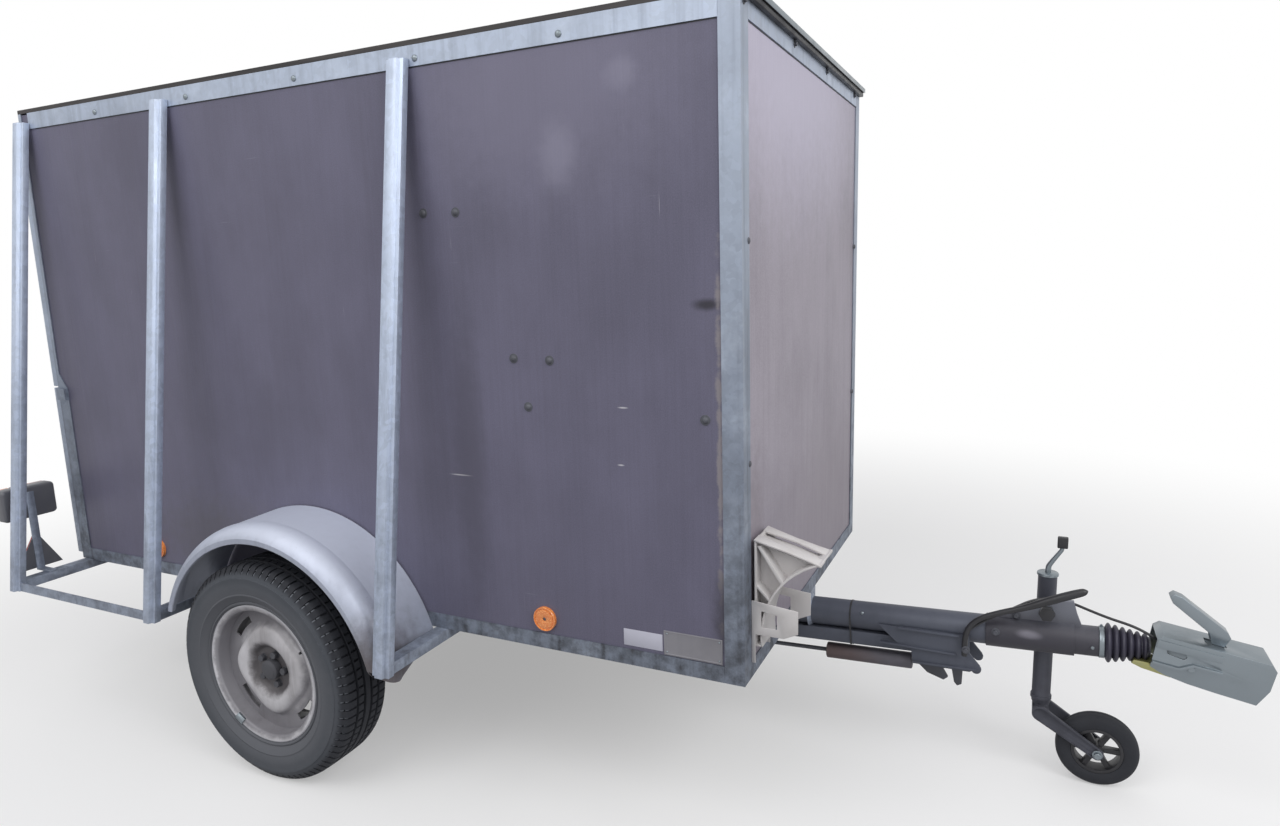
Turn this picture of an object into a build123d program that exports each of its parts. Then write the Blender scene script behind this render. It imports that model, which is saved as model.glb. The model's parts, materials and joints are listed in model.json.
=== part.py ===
"""Single-axle box trailer with plywood walls, splayed side posts and an overrun drawbar.

Frame: +X towards the coupling, +Y to the left, +Z up, floor at Z = 0, in millimetres.
The trailer stands level on its two road wheels and on its jockey wheel.
"""
import os
from math import atan2, cos, degrees, hypot, radians, sin, sqrt, tan

from build123d import *

# ---------------------------------------------------------------- driving dimensions
BOX_LENGTH = 2500.0
BOX_WIDTH = 1250.0
BOX_HEIGHT = 1530.0          # underside of the bottom rails to the top of the top rails
BOX_CLEARANCE = 471.0        # ground to the underside of the bottom rails
NOSE_REACH = 1133.0          # front wall to the tip of the coupling
REAR_REACH = 95.0            # rear wall to the back of the rear lamps

STEEL = 3.0                  # wall of rolled angles and posts
PANEL = 12.0                 # plywood of walls
FLOOR_PLY = 15.0
ROOF_PLY = 12.0
ROOF_OVERHANG = 18.0         # roof board ahead of the front wall
WELD_GAP = 0.5               # gap left between separate lengths of steel
FIT_GAP = 1.0                # gap between a panel and the steel that frames it

BOTTOM_RAIL_HEIGHT = 41.0
TOP_RAIL_HEIGHT = 50.0
RAIL_FLANGE = 40.0
CORNER_FLANGE = 50.0
LATCH_HEIGHT = 40.0
LATCH_DEPTH = 10.0
REAR_TRIM = 14.0             # side flange of the rear corners above the tailgate

POST_WIDTH = 54.0
POST_DEPTH = 20.0
POST_RIB = 9.0
POST_RIB_HALF = 12.0
POST_RIB_SLANT = 3.0
POST_SPLAY = 222.0           # how far a side post's foot stands out from the wall
POST_DROP = 32.0             # top of the box to the top of a side post
POST_SETBACKS = (885.0, 1785.0, BOX_LENGTH - 30.0)   # front wall to each post's centre
CROSS_TUBE = 30.0            # height of the tubes under the box
CROSS_WIDTH = 40.0
OUTER_RAIL = 30.0

AXLE_SETBACK = 1385.0        # front wall to the wheel centres
WHEEL_RADIUS = 327.0
TYRE_WIDTH = 190.0
TYRE_GAP = 24.0              # tyre to side wall
TYRE_SHOULDER = 25.0         # what each side loses between the sidewall and the tread
RIM_RADIUS = 207.0
RIM_HALF = 76.0
RIM_WALL = 4.0
BEAD_SEAT = 191.0
DISC_OFFSET = 28.0           # middle of the wheel to its mounting face
CROWN_HALF = 118.0           # half the width of the wheel disc's four-cornered crown
CROWN_RISE = 27.0
HUB_RECESS = 74.0
HUB_BORE = 17.0
SHAFT_CLEARANCE = 0.05

FENDER_WALL_RADIUS = 448.0   # wheel centre to the fender's sheet, at the side wall
FENDER_EDGE_RADIUS = 401.0   # and at the edge of its opening
FENDER_WIDTH = 216.0
FENDER_CROWN = 146.0         # width of the nearly flat part beside the wall
FENDER_SHEET = 2.5
FENDER_LIP = 9.0
FENDER_CENTRE_SHIFT = 41.0   # fender centre ahead of the wheel centre
FENDER_FRONT_Z = 386.0
FENDER_REAR_Z = 473.0
FENDER_TIP = 55.0            # radius of the front end's outer corner

DRAWBAR_DIAMETER = 80.0
DRAWBAR_WALL = 5.0
DRAWBAR_RISE = 2.2           # degrees that the drawbar rises towards the coupling
DRAWBAR_DROP = 54.5          # underside of the box to the drawbar's axis, at the front wall
DRAWBAR_REACH = 490.0        # front wall to the front end of the drawbar tube
BEAM_WIDTH = 60.0
BEAM_HEIGHT = 40.0
BEAM_REACH = 330.0
BEAM_LENGTH = 1180.0

HOUSING_DIAMETER = 88.0
HOUSING_LENGTH = 215.0
COLLAR_DIAMETER = 78.0
COLLAR_LENGTH = 70.0
SHAFT_DIAMETER = 50.0
BELLOWS_DIAMETER = 102.0     # first fold; the folds shrink towards the coupling
BELLOWS_TAPER = 3.6          # what each fold loses in diameter
BELLOWS_LENGTH = 100.0
BELLOWS_FOLDS = 6

COUPLING_TILT = 11.2         # nose-down sag of the coupling head on its shaft, degrees
COUPLING_LENGTH = 255.0
COUPLING_WIDTH = 104.0
COUPLING_HEIGHT = 108.0
COUPLING_WALL = 5.0
COUPLING_TOP = 58.0          # shaft axis to the top of the coupling head
BALL_DIAMETER = 50.0
BALL_CLEARANCE = 0.3
SOCKET_SETBACK = 48.0        # nose to the ball's centre
SOCKET_LENGTH = 34.0

JOCKEY_REACH = 636.0         # front wall to the jockey tube's centre
JOCKEY_OFFSET = 76.0         # jockey tube's centre to the left of the middle
JOCKEY_TUBE = 48.0
JOCKEY_TUBE_TOP = 584.0
JOCKEY_TUBE_BOTTOM = 215.0
JOCKEY_WALL = 3.0
JOCKEY_WHEEL_RADIUS = 103.0
JOCKEY_WHEEL_WIDTH = 50.0
JOCKEY_RIM = 64.0
JOCKEY_SPOKES = 6
JOCKEY_TRAIL = 145.0
JOCKEY_AXLE = 12.0

GATE_HEIGHT = 600.0
DOOR_THICKNESS = 25.0
DOOR_GAP = 6.0               # rear wall to the doors, and round their edges
HINGE_DIAMETER = 12.0
HINGE_COUNT = 3
HINGE_LENGTH = 80.0
HINGE_LEAF = 4.0

# ---------------------------------------------------------------- derived places
FRONT_X = (BOX_LENGTH + REAR_REACH - NOSE_REACH) / 2
REAR_X = FRONT_X - BOX_LENGTH
SIDE_Y = BOX_WIDTH / 2
DECK_Z = BOX_CLEARANCE
ROOF_Z = BOX_CLEARANCE + BOX_HEIGHT
POST_XS = [FRONT_X - setback for setback in POST_SETBACKS]
AXLE_X = FRONT_X - AXLE_SETBACK
WHEEL_Y = SIDE_Y + TYRE_GAP + TYRE_WIDTH / 2
CROSS_Z = DECK_Z - WELD_GAP - CROSS_TUBE
GATE_BOTTOM = DECK_Z + 18.0
GATE_TOP = GATE_BOTTOM + GATE_HEIGHT

# Drawbar frame: local X along the drawbar from the front wall, local Y up from its axis.
DRAWBAR_R = DRAWBAR_DIAMETER / 2
BAR_PLANE = Plane(origin=(FRONT_X, 0, DECK_Z - DRAWBAR_DROP),
                  x_dir=(cos(radians(DRAWBAR_RISE)), 0, sin(radians(DRAWBAR_RISE))),
                  z_dir=(0, -1, 0))
HOUSING_END = DRAWBAR_REACH + HOUSING_LENGTH
COLLAR_END = HOUSING_END + COLLAR_LENGTH
BELLOWS_END = COLLAR_END + BELLOWS_LENGTH
BAR_AXIS = Axis(BAR_PLANE.origin, BAR_PLANE.x_dir)

os.makedirs("parts", exist_ok=True)


def angle_section(leg_a, leg_b, wall):
    """Outline of an angle iron, corner at the origin, legs along local +X and +Y."""
    return [(0, 0), (leg_a, 0), (leg_a, wall), (wall, wall), (wall, leg_b), (0, leg_b)]


def beside_bar(y):
    """Plane along the drawbar, upright, at a distance to the left of the middle."""
    return BAR_PLANE.offset(-y)


def across_bar(x):
    """Plane square to the drawbar at a distance ahead of the front wall: left and up."""
    return Plane(origin=BAR_PLANE.from_local_coords((x, 0, 0)), x_dir=(0, 1, 0),
                 z_dir=BAR_PLANE.x_dir)


def bar_place(x, up):
    """A point of the drawbar's upright middle plane, in the model frame."""
    return BAR_PLANE.from_local_coords((x, up, 0))


def from_wall(*points):
    """Points given from the lower edge of the front wall, ahead and up, in the model frame."""
    return [(FRONT_X + x, DECK_Z + z) for x, z in points]


# ---------------------------------------------------------------- box frame
# Lengths of angle: every rail runs between the corner posts.
RAIL_X0 = REAR_X + CORNER_FLANGE + WELD_GAP
RAIL_X1 = FRONT_X - CORNER_FLANGE - WELD_GAP
RAIL_Y = SIDE_Y - CORNER_FLANGE - WELD_GAP

for name, edge_z, upright in (("bottom_rails", DECK_Z, BOTTOM_RAIL_HEIGHT),
                              ("top_rails", ROOF_Z, -TOP_RAIL_HEIGHT)):
    wall = STEEL if upright > 0 else -STEEL
    section = [(0, 0), (RAIL_FLANGE, 0), (RAIL_FLANGE, wall), (STEEL, wall), (STEEL, upright),
               (0, upright)]
    with BuildPart() as rails:
        for side in (-1, 1):
            with BuildSketch(Plane.YZ.offset(RAIL_X0)):
                with BuildLine():
                    Polyline([(side * (SIDE_Y - a), edge_z + b) for a, b in section], close=True)
                make_face()
            extrude(amount=RAIL_X1 - RAIL_X0)
        for end_x, inward in ((FRONT_X, -1), (REAR_X, 1)):
            with BuildSketch(Plane.XZ.offset(-RAIL_Y)):
                with BuildLine():
                    Polyline([(end_x + inward * a, edge_z + b) for a, b in section], close=True)
                make_face()
            extrude(amount=2 * RAIL_Y)
    rails.part.label = name
    export_step(rails.part, "parts/" + name + ".step")

# Each corner is one angle; above the tailgate the rear ones keep only a narrow side flange.
with BuildPart() as corner_posts:
    with BuildSketch(Plane.XY.offset(DECK_Z)):
        for end_x, inward in ((FRONT_X, -1), (REAR_X, 1)):
            for side in (-1, 1):
                with BuildLine():
                    Polyline([(end_x + inward * a, side * (SIDE_Y - b))
                              for a, b in angle_section(CORNER_FLANGE, CORNER_FLANGE, STEEL)],
                             close=True)
                make_face()
    extrude(amount=BOX_HEIGHT)
    with BuildSketch(Plane.XZ.offset(-SIDE_Y)):
        with BuildLine():
            Polyline((REAR_X + REAR_TRIM, GATE_TOP + CORNER_FLANGE),
                     (REAR_X + CORNER_FLANGE, GATE_TOP), (REAR_X + CORNER_FLANGE, ROOF_Z),
                     (REAR_X + REAR_TRIM, ROOF_Z), close=True)
        make_face()
    extrude(amount=BOX_WIDTH, mode=Mode.SUBTRACT)
    # Latch plate on each rear corner, level with the top of the tailgate.
    for side in (-1, 1):
        with BuildSketch(Plane.XZ.offset(-side * (SIDE_Y - STEEL))):
            with Locations((REAR_X + CORNER_FLANGE / 2, GATE_TOP - LATCH_HEIGHT / 2)):
                Rectangle(CORNER_FLANGE - 2 * STEEL, LATCH_HEIGHT)
        extrude(amount=-side * (STEEL + LATCH_DEPTH))
corner_posts.part.label = "corner_posts"
export_step(corner_posts.part, "parts/corner_posts.step")

# ---------------------------------------------------------------- plywood
PANEL_BOTTOM = DECK_Z + STEEL + WELD_GAP
PANEL_TOP = ROOF_Z - STEEL - WELD_GAP
WALL_FACE = STEEL + WELD_GAP          # steel flange in front of each panel

with BuildPart() as floor_panel:
    with BuildSketch(Plane.XY.offset(DECK_Z + STEEL + WELD_GAP)):
        with Locations(((FRONT_X + REAR_X) / 2, 0)):
            Rectangle(BOX_LENGTH - 2 * (WALL_FACE + PANEL + FIT_GAP),
                      BOX_WIDTH - 2 * (WALL_FACE + PANEL + FIT_GAP))
    extrude(amount=FLOOR_PLY)
floor_panel.part.label = "floor_panel"
export_step(floor_panel.part, "parts/floor_panel.step")

for side, name in ((-1, "side_panel_right"), (1, "side_panel_left")):
    with BuildPart() as side_panel:
        with BuildSketch(Plane.XZ.offset(-side * (SIDE_Y - WALL_FACE))):
            with Locations(((FRONT_X + REAR_X) / 2, (PANEL_BOTTOM + PANEL_TOP) / 2)):
                Rectangle(BOX_LENGTH - 2 * WALL_FACE, PANEL_TOP - PANEL_BOTTOM)
        extrude(amount=side * PANEL)
    side_panel.part.label = name
    export_step(side_panel.part, "parts/" + name + ".step")

with BuildPart() as front_panel:
    with BuildSketch(Plane.YZ.offset(FRONT_X - WALL_FACE)):
        with Locations((0, (PANEL_BOTTOM + PANEL_TOP) / 2)):
            Rectangle(BOX_WIDTH - 2 * (WALL_FACE + PANEL + FIT_GAP), PANEL_TOP - PANEL_BOTTOM)
    extrude(amount=-PANEL)
front_panel.part.label = "front_panel"
export_step(front_panel.part, "parts/front_panel.step")

with BuildPart() as roof_panel:
    with BuildSketch(Plane.XY.offset(ROOF_Z + WELD_GAP)):
        with Locations(((FRONT_X + ROOF_OVERHANG + REAR_X) / 2, 0)):
            Rectangle(BOX_LENGTH + ROOF_OVERHANG, BOX_WIDTH)
    extrude(amount=ROOF_PLY)
roof_panel.part.label = "roof_panel"
export_step(roof_panel.part, "parts/roof_panel.step")

# ---------------------------------------------------------------- side posts and outriggers
POST_TOP = ROOF_Z - POST_DROP
POST_TILT = atan2(POST_SPLAY, POST_TOP - DECK_Z)
POST_RUN = hypot(POST_SPLAY, POST_TOP - DECK_Z)


def post_section():
    """Ribbed channel, open towards the wall: half widths along local X, depth along local Y."""
    half = POST_WIDTH / 2
    rib_foot = POST_RIB_HALF + POST_RIB_SLANT
    skin = [(half, 0), (half, POST_DEPTH), (rib_foot, POST_DEPTH),
            (POST_RIB_HALF, POST_DEPTH + POST_RIB)]
    inside = [(half - STEEL, 0), (half - STEEL, POST_DEPTH - STEEL),
              (rib_foot - STEEL / 2, POST_DEPTH - STEEL),
              (POST_RIB_HALF - STEEL / 2, POST_DEPTH + POST_RIB - STEEL)]
    outer = [(-a, b) for a, b in skin] + skin[::-1]
    inner = inside + [(-a, b) for a, b in inside[::-1]]
    return outer + inner


for side, name in ((-1, "side_posts_right"), (1, "side_posts_left")):
    with BuildPart() as side_posts:
        for post_x in POST_XS:
            lean = Vector(0, side * sin(POST_TILT), -cos(POST_TILT))
            start = Vector(post_x, side * (SIDE_Y + WELD_GAP), POST_TOP) - lean * POST_DEPTH
            post_plane = Plane(origin=start, x_dir=(-side, 0, 0), z_dir=lean)
            with BuildSketch(post_plane):
                with BuildLine():
                    Polyline(post_section(), close=True)
                make_face()
            extrude(amount=POST_RUN + 3 * POST_DEPTH)
        split(bisect_by=Plane.XY.offset(POST_TOP), keep=Keep.BOTTOM)
        split(bisect_by=Plane.XY.offset(CROSS_Z), keep=Keep.TOP)
    side_posts.part.label = name
    export_step(side_posts.part, "parts/" + name + ".step")

# Each cross tube passes under the box and butts against the inside of two post feet.
CROSS_Y = SIDE_Y + WELD_GAP + (POST_TOP - DECK_Z - WELD_GAP) * tan(POST_TILT) - WELD_GAP
with BuildPart() as cross_tubes:
    with BuildSketch(Plane.XZ.offset(-CROSS_Y)):
        for post_x in POST_XS:
            with Locations((post_x, CROSS_Z + CROSS_TUBE / 2)):
                Rectangle(CROSS_WIDTH, CROSS_TUBE)
                Rectangle(CROSS_WIDTH - 2 * STEEL, CROSS_TUBE - 2 * STEEL, mode=Mode.SUBTRACT)
    extrude(amount=2 * CROSS_Y)
cross_tubes.part.label = "cross_tubes"
export_step(cross_tubes.part, "parts/cross_tubes.step")

with BuildPart() as outer_rails:
    rail_start = POST_XS[2] + POST_WIDTH / 2 + WELD_GAP
    rail_end = POST_XS[1] - POST_WIDTH / 2 - WELD_GAP
    with BuildSketch(Plane.YZ.offset(rail_start)):
        for side in (-1, 1):
            with BuildLine():
                Polyline([(side * (CROSS_Y + POST_DEPTH - a), CROSS_Z + b)
                          for a, b in angle_section(OUTER_RAIL, OUTER_RAIL, STEEL)], close=True)
            make_face()
    extrude(amount=rail_end - rail_start)
outer_rails.part.label = "outer_rails"
export_step(outer_rails.part, "parts/outer_rails.step")

# ---------------------------------------------------------------- fenders
FENDER_X = AXLE_X + FENDER_CENTRE_SHIFT
FENDER_AXIS = Axis((FENDER_X, 0, WHEEL_RADIUS), (0, 1, 0))
FENDER_PLANE = Plane(origin=(FENDER_X, 0, WHEEL_RADIUS), x_dir=(1, 0, 0), z_dir=(0, 0, 1))
FENDER_OUTER = SIDE_Y + WELD_GAP + FENDER_WIDTH
for side, name in ((-1, "fender_right"), (1, "fender_left")):
    with BuildPart() as fender:
        # Half section, laid flat ahead of the axle: nearly flat crown, rolled edge, inward lip.
        with BuildSketch(FENDER_PLANE):
            with BuildLine():
                crown = Line((FENDER_WALL_RADIUS, side * (SIDE_Y + WELD_GAP)),
                             (FENDER_WALL_RADIUS - 5, side * (SIDE_Y + FENDER_CROWN)))
                roll = ThreePointArc(crown @ 1,
                                     (FENDER_WALL_RADIUS - 16, side * (FENDER_OUTER - 18)),
                                     (FENDER_EDGE_RADIUS + 12, side * FENDER_OUTER))
                edge = Line(roll @ 1, (FENDER_EDGE_RADIUS, side * FENDER_OUTER))
                Line(edge @ 1, (FENDER_EDGE_RADIUS, side * (FENDER_OUTER - FENDER_LIP)))
                offset(amount=FENDER_SHEET, side=Side.RIGHT if side > 0 else Side.LEFT)
            make_face()
        revolve(axis=FENDER_AXIS, revolution_arc=360)
        # Trimmed to the arch: level behind, and ahead a rounded tip below the outer edge.
        with BuildSketch(Plane.XZ.offset(-side * (SIDE_Y - FENDER_LIP))):
            with Locations((FENDER_X - FENDER_WALL_RADIUS, FENDER_REAR_Z - FENDER_WALL_RADIUS)):
                Rectangle(2 * FENDER_WALL_RADIUS, 2 * FENDER_WALL_RADIUS)
        extrude(amount=-side * 2 * FENDER_WIDTH, mode=Mode.SUBTRACT)
        with BuildSketch(Plane.YZ.offset(FENDER_X)):
            with BuildLine():
                tip_start = (side * (FENDER_OUTER + STEEL), FENDER_FRONT_Z + FENDER_TIP)
                ThreePointArc(tip_start,
                              (side * (FENDER_OUTER - 0.29 * FENDER_TIP),
                               FENDER_FRONT_Z + 0.29 * FENDER_TIP),
                              (side * (FENDER_OUTER - FENDER_TIP), FENDER_FRONT_Z))
                Polyline((side * (FENDER_OUTER - FENDER_TIP), FENDER_FRONT_Z),
                         (side * (SIDE_Y - FENDER_LIP), DECK_Z - FENDER_LIP),
                         (side * (SIDE_Y - FENDER_LIP), -FENDER_WALL_RADIUS),
                         (side * (FENDER_OUTER + STEEL), -FENDER_WALL_RADIUS), tip_start)
            make_face()
        extrude(amount=2 * FENDER_WALL_RADIUS, mode=Mode.SUBTRACT)
    fender.part.label = name
    export_step(fender.part, "parts/" + name + ".step")

# ---------------------------------------------------------------- axle
ARM_LENGTH = 150.0
ARM_THICKNESS = 26.0
ARM_ROOT = 46.0
ARM_FOOT = 32.0
AXLE_TUBE = 80.0
AXLE_WALL = 5.0
AXLE_CORNER = 10.0
AXLE_DROP = 46.0             # underside of the box to the top of the axle tube
ARM_Z = DECK_Z - AXLE_DROP - AXLE_TUBE / 2
AXLE_TUBE_X = AXLE_X + ARM_LENGTH
STUB_RADIUS = HUB_BORE - SHAFT_CLEARANCE
ARM_Y = SIDE_Y - 45.0        # swing arm's inner face
DRUM_WIDTH = 60.0
DRUM_RADIUS = 125.0
DRUM_WALL = 10.0
DRUM_Y = SIDE_Y + 12.0       # inner face of the brake drum

with BuildPart() as axle_beam:
    with BuildSketch(Plane.XZ.offset(-ARM_Y + WELD_GAP)):
        with Locations((AXLE_TUBE_X, ARM_Z)):
            RectangleRounded(AXLE_TUBE, AXLE_TUBE, AXLE_CORNER)
            RectangleRounded(AXLE_TUBE - 2 * AXLE_WALL, AXLE_TUBE - 2 * AXLE_WALL,
                             AXLE_CORNER - AXLE_WALL, mode=Mode.SUBTRACT)
    extrude(amount=2 * (ARM_Y - WELD_GAP))
axle_beam.part.label = "axle_beam"
export_step(axle_beam.part, "parts/axle_beam.step")

BRACKET_LENGTH = 90.0
BRACKET_PLATE = 8.0
BRACKET_WIDTH = 75.0
bracket_inner = ARM_Y - STEEL - BRACKET_WIDTH
bracket_top = DECK_Z - WELD_GAP
bracket_foot = ARM_Z + AXLE_TUBE / 2 + WELD_GAP
with BuildPart() as axle_brackets:
    for side in (-1, 1):
        with BuildSketch(Plane.YZ.offset(AXLE_TUBE_X - BRACKET_LENGTH / 2)):
            with BuildLine():
                Polyline([(side * y, z) for y, z in (
                    (bracket_inner, bracket_foot), (ARM_Y - STEEL, bracket_foot),
                    (ARM_Y - STEEL, bracket_top - BRACKET_PLATE),
                    (SIDE_Y - STEEL, bracket_top - BRACKET_PLATE), (SIDE_Y - STEEL, bracket_top),
                    (bracket_inner, bracket_top))], close=True)
            make_face()
        extrude(amount=BRACKET_LENGTH)
axle_brackets.part.label = "axle_brackets"
export_step(axle_brackets.part, "parts/axle_brackets.step")

WHEEL_AXIS = Axis((AXLE_X, 0, WHEEL_RADIUS), (0, 1, 0))
WHEEL_PLANE = Plane(origin=(AXLE_X, 0, WHEEL_RADIUS), x_dir=(0, 0, 1), z_dir=(-1, 0, 0))
DISC_FACE = WHEEL_Y + DISC_OFFSET    # mounting face of the wheel disc
STUB_END = DISC_FACE + 4.0

with BuildPart() as swing_arms:
    for side in (-1, 1):
        with BuildSketch(Plane.XZ.offset(-side * ARM_Y)):
            with Locations((AXLE_TUBE_X, ARM_Z)):
                Circle(ARM_ROOT)
            with Locations((AXLE_X, WHEEL_RADIUS)):
                Circle(ARM_FOOT)
            make_hull()
        extrude(amount=-side * ARM_THICKNESS)
        with BuildSketch(Plane.XZ.offset(-side * (ARM_Y + ARM_THICKNESS))):
            with Locations((AXLE_X, WHEEL_RADIUS)):
                Circle(STUB_RADIUS)
        extrude(amount=-side * (STUB_END - ARM_Y - ARM_THICKNESS))
swing_arms.part.label = "swing_arms"
export_step(swing_arms.part, "parts/swing_arms.step")

BACKPLATE_BOSS = 42.0
BACKPLATE_STEEL = 4.0
BACKPLATE_Y = DRUM_Y - 6.0
with BuildPart() as backplates:
    for side in (-1, 1):
        with BuildSketch(WHEEL_PLANE):
            with BuildLine():
                Polyline([(r, side * y) for r, y in (
                    (STUB_RADIUS + WELD_GAP, ARM_Y + ARM_THICKNESS + WELD_GAP),
                    (BACKPLATE_BOSS, ARM_Y + ARM_THICKNESS + WELD_GAP),
                    (BACKPLATE_BOSS, BACKPLATE_Y - BACKPLATE_STEEL),
                    (DRUM_RADIUS - 6, BACKPLATE_Y - BACKPLATE_STEEL),
                    (DRUM_RADIUS - 6, BACKPLATE_Y),
                    (STUB_RADIUS + WELD_GAP, BACKPLATE_Y))], close=True)
            make_face()
        revolve(axis=WHEEL_AXIS)
backplates.part.label = "backplates"
export_step(backplates.part, "parts/backplates.step")

# ---------------------------------------------------------------- road wheels
# Outlines of revolution: (radius, distance outboard of the middle of the wheel).
WELL = RIM_RADIUS - 35.0
BARREL = ((RIM_RADIUS, -RIM_HALF), (RIM_RADIUS, 4 - RIM_HALF), (BEAD_SEAT, 6 - RIM_HALF),
          (BEAD_SEAT, -42), (WELL, -28), (WELL, 0), (BEAD_SEAT, 16),
          (BEAD_SEAT, RIM_HALF - 6), (RIM_RADIUS, RIM_HALF - 4), (RIM_RADIUS, RIM_HALF),
          (BEAD_SEAT - RIM_WALL, RIM_HALF - 2), (BEAD_SEAT - RIM_WALL, 18),
          (WELL - RIM_WALL, 4), (WELL - RIM_WALL, -32),
          (BEAD_SEAT - RIM_WALL, -44), (BEAD_SEAT - RIM_WALL, 2 - RIM_HALF))
HUB_HOLE = 30.0
RECESS_FLOOR = 60.0
CROWN_CORNER = 74.0
CROWN_TAPER = 30.0
VENT_RADIUS = 158.0
VENT_WIDTH = 20.0
VENT_SWEEP = 30.0
VENT_COUNT = 4
BEAD_HALF = RIM_HALF - 6.5    # the beads stand just inside the rim's flanges
TYRE_PROFILE = ((BEAD_SEAT + 2.5, BEAD_HALF), (RIM_RADIUS + 3, BEAD_HALF), (245, TYRE_WIDTH / 2),
                (285, TYRE_WIDTH / 2), (WHEEL_RADIUS, TYRE_WIDTH / 2 - TYRE_SHOULDER))

for side, hand in ((-1, "right"), (1, "left")):
    disc_plane = Plane(origin=(AXLE_X, side * DISC_FACE, WHEEL_RADIUS), x_dir=(side, 0, 0),
                       z_dir=(0, side, 0))
    with BuildPart() as rim:
        with BuildSketch(WHEEL_PLANE):
            with BuildLine():
                Polyline([(r, side * (WHEEL_Y + v)) for r, v in BARREL], close=True)
            make_face()
        revolve(axis=WHEEL_AXIS)
        with BuildSketch(disc_plane):
            Circle(BEAD_SEAT - RIM_WALL / 2)
        extrude(amount=RIM_WALL)
        # Four-cornered crown, pressed up from the disc and hollow behind.
        for inset, rise, mode in ((0, CROWN_RISE, Mode.ADD), (RIM_WALL, CROWN_RISE, Mode.SUBTRACT)):
            with BuildSketch(disc_plane.offset(-inset)):
                with Locations(Rotation(0, 0, 45)):
                    RectangleRounded(2 * (CROWN_HALF - inset), 2 * (CROWN_HALF - inset),
                                     CROWN_CORNER - inset)
            extrude(amount=rise, taper=CROWN_TAPER, mode=mode)
        # The hub recess goes back down to the mounting face inside the crown.
        with BuildSketch(disc_plane):
            Circle(HUB_RECESS + RIM_WALL)
        extrude(amount=CROWN_RISE)
        with BuildSketch(disc_plane.offset(RIM_WALL)):
            Circle(RECESS_FLOOR)
        extrude(amount=CROWN_RISE, taper=-degrees(atan2(HUB_RECESS - RECESS_FLOOR, CROWN_RISE)),
                mode=Mode.SUBTRACT)
        with BuildSketch(disc_plane):
            Circle(HUB_HOLE)
            with PolarLocations(VENT_RADIUS, VENT_COUNT, start_angle=180 / VENT_COUNT):
                SlotCenterToCenter(radians(VENT_SWEEP) * VENT_RADIUS - VENT_WIDTH, VENT_WIDTH,
                                   rotation=90)
        extrude(amount=RIM_WALL, mode=Mode.SUBTRACT)
    rim.part.label = "rim_" + hand
    export_step(rim.part, "parts/rim_" + hand + ".step")

    with BuildPart() as tyre:
        with BuildSketch(WHEEL_PLANE):
            with BuildLine():
                Polyline([(r, side * (WHEEL_Y + v)) for r, v in TYRE_PROFILE]
                         + [(r, side * (WHEEL_Y - v)) for r, v in TYRE_PROFILE[::-1]], close=True)
            make_face()
        revolve(axis=WHEEL_AXIS)
    tyre.part.label = "tyre_" + hand
    export_step(tyre.part, "parts/tyre_" + hand + ".step")

    with BuildPart() as drum:
        with BuildSketch(WHEEL_PLANE):
            with BuildLine():
                Polyline([(r, side * y) for r, y in (
                    (HUB_BORE, DRUM_Y + 8), (45, DRUM_Y + 8), (45, DRUM_Y + DRUM_WIDTH - DRUM_WALL),
                    (DRUM_RADIUS - DRUM_WALL, DRUM_Y + DRUM_WIDTH - DRUM_WALL),
                    (DRUM_RADIUS - DRUM_WALL, DRUM_Y), (DRUM_RADIUS, DRUM_Y),
                    (DRUM_RADIUS, DRUM_Y + DRUM_WIDTH), (70, DRUM_Y + DRUM_WIDTH),
                    (70, DISC_FACE - WELD_GAP), (HUB_HOLE - 1, DISC_FACE - WELD_GAP),
                    (HUB_HOLE - 1, DISC_FACE + 22), (22, DISC_FACE + 28), (0, DISC_FACE + 28),
                    (0, STUB_END + 2), (HUB_BORE, STUB_END + 2))], close=True)
            make_face()
        revolve(axis=WHEEL_AXIS)
    drum.part.label = "hub_drum_" + hand
    export_step(drum.part, "parts/hub_drum_" + hand + ".step")

# ---------------------------------------------------------------- drawbar
AXLE_FRONT = AXLE_TUBE_X + AXLE_TUBE / 2 + WELD_GAP
TUBE_START = (AXLE_FRONT - FRONT_X) / cos(radians(DRAWBAR_RISE)) - DRAWBAR_DIAMETER
with BuildPart() as drawbar_tube:
    with BuildSketch(across_bar(TUBE_START)):
        Circle(DRAWBAR_R)
        Circle(DRAWBAR_R - DRAWBAR_WALL, mode=Mode.SUBTRACT)
    extrude(amount=DRAWBAR_REACH - TUBE_START)
    split(bisect_by=Plane.YZ.offset(AXLE_FRONT), keep=Keep.TOP)
drawbar_tube.part.label = "drawbar_tube"
export_step(drawbar_tube.part, "parts/drawbar_tube.step")

# The cross beam of two channels' width hangs under the tube, back to the axle.
BEAM_TOP = -DRAWBAR_R - WELD_GAP
with BuildPart() as drawbar_beam:
    with BuildSketch(across_bar(BEAM_REACH - BEAM_LENGTH)):
        with Locations((0, BEAM_TOP - BEAM_HEIGHT / 2)):
            Rectangle(BEAM_WIDTH, BEAM_HEIGHT)
        with Locations((0, BEAM_TOP - BEAM_HEIGHT / 2 - DRAWBAR_WALL)):
            Rectangle(BEAM_WIDTH - 2 * DRAWBAR_WALL, BEAM_HEIGHT, mode=Mode.SUBTRACT)
    extrude(amount=BEAM_LENGTH)
drawbar_beam.part.label = "drawbar_beam"
export_step(drawbar_beam.part, "parts/drawbar_beam.step")

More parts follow.
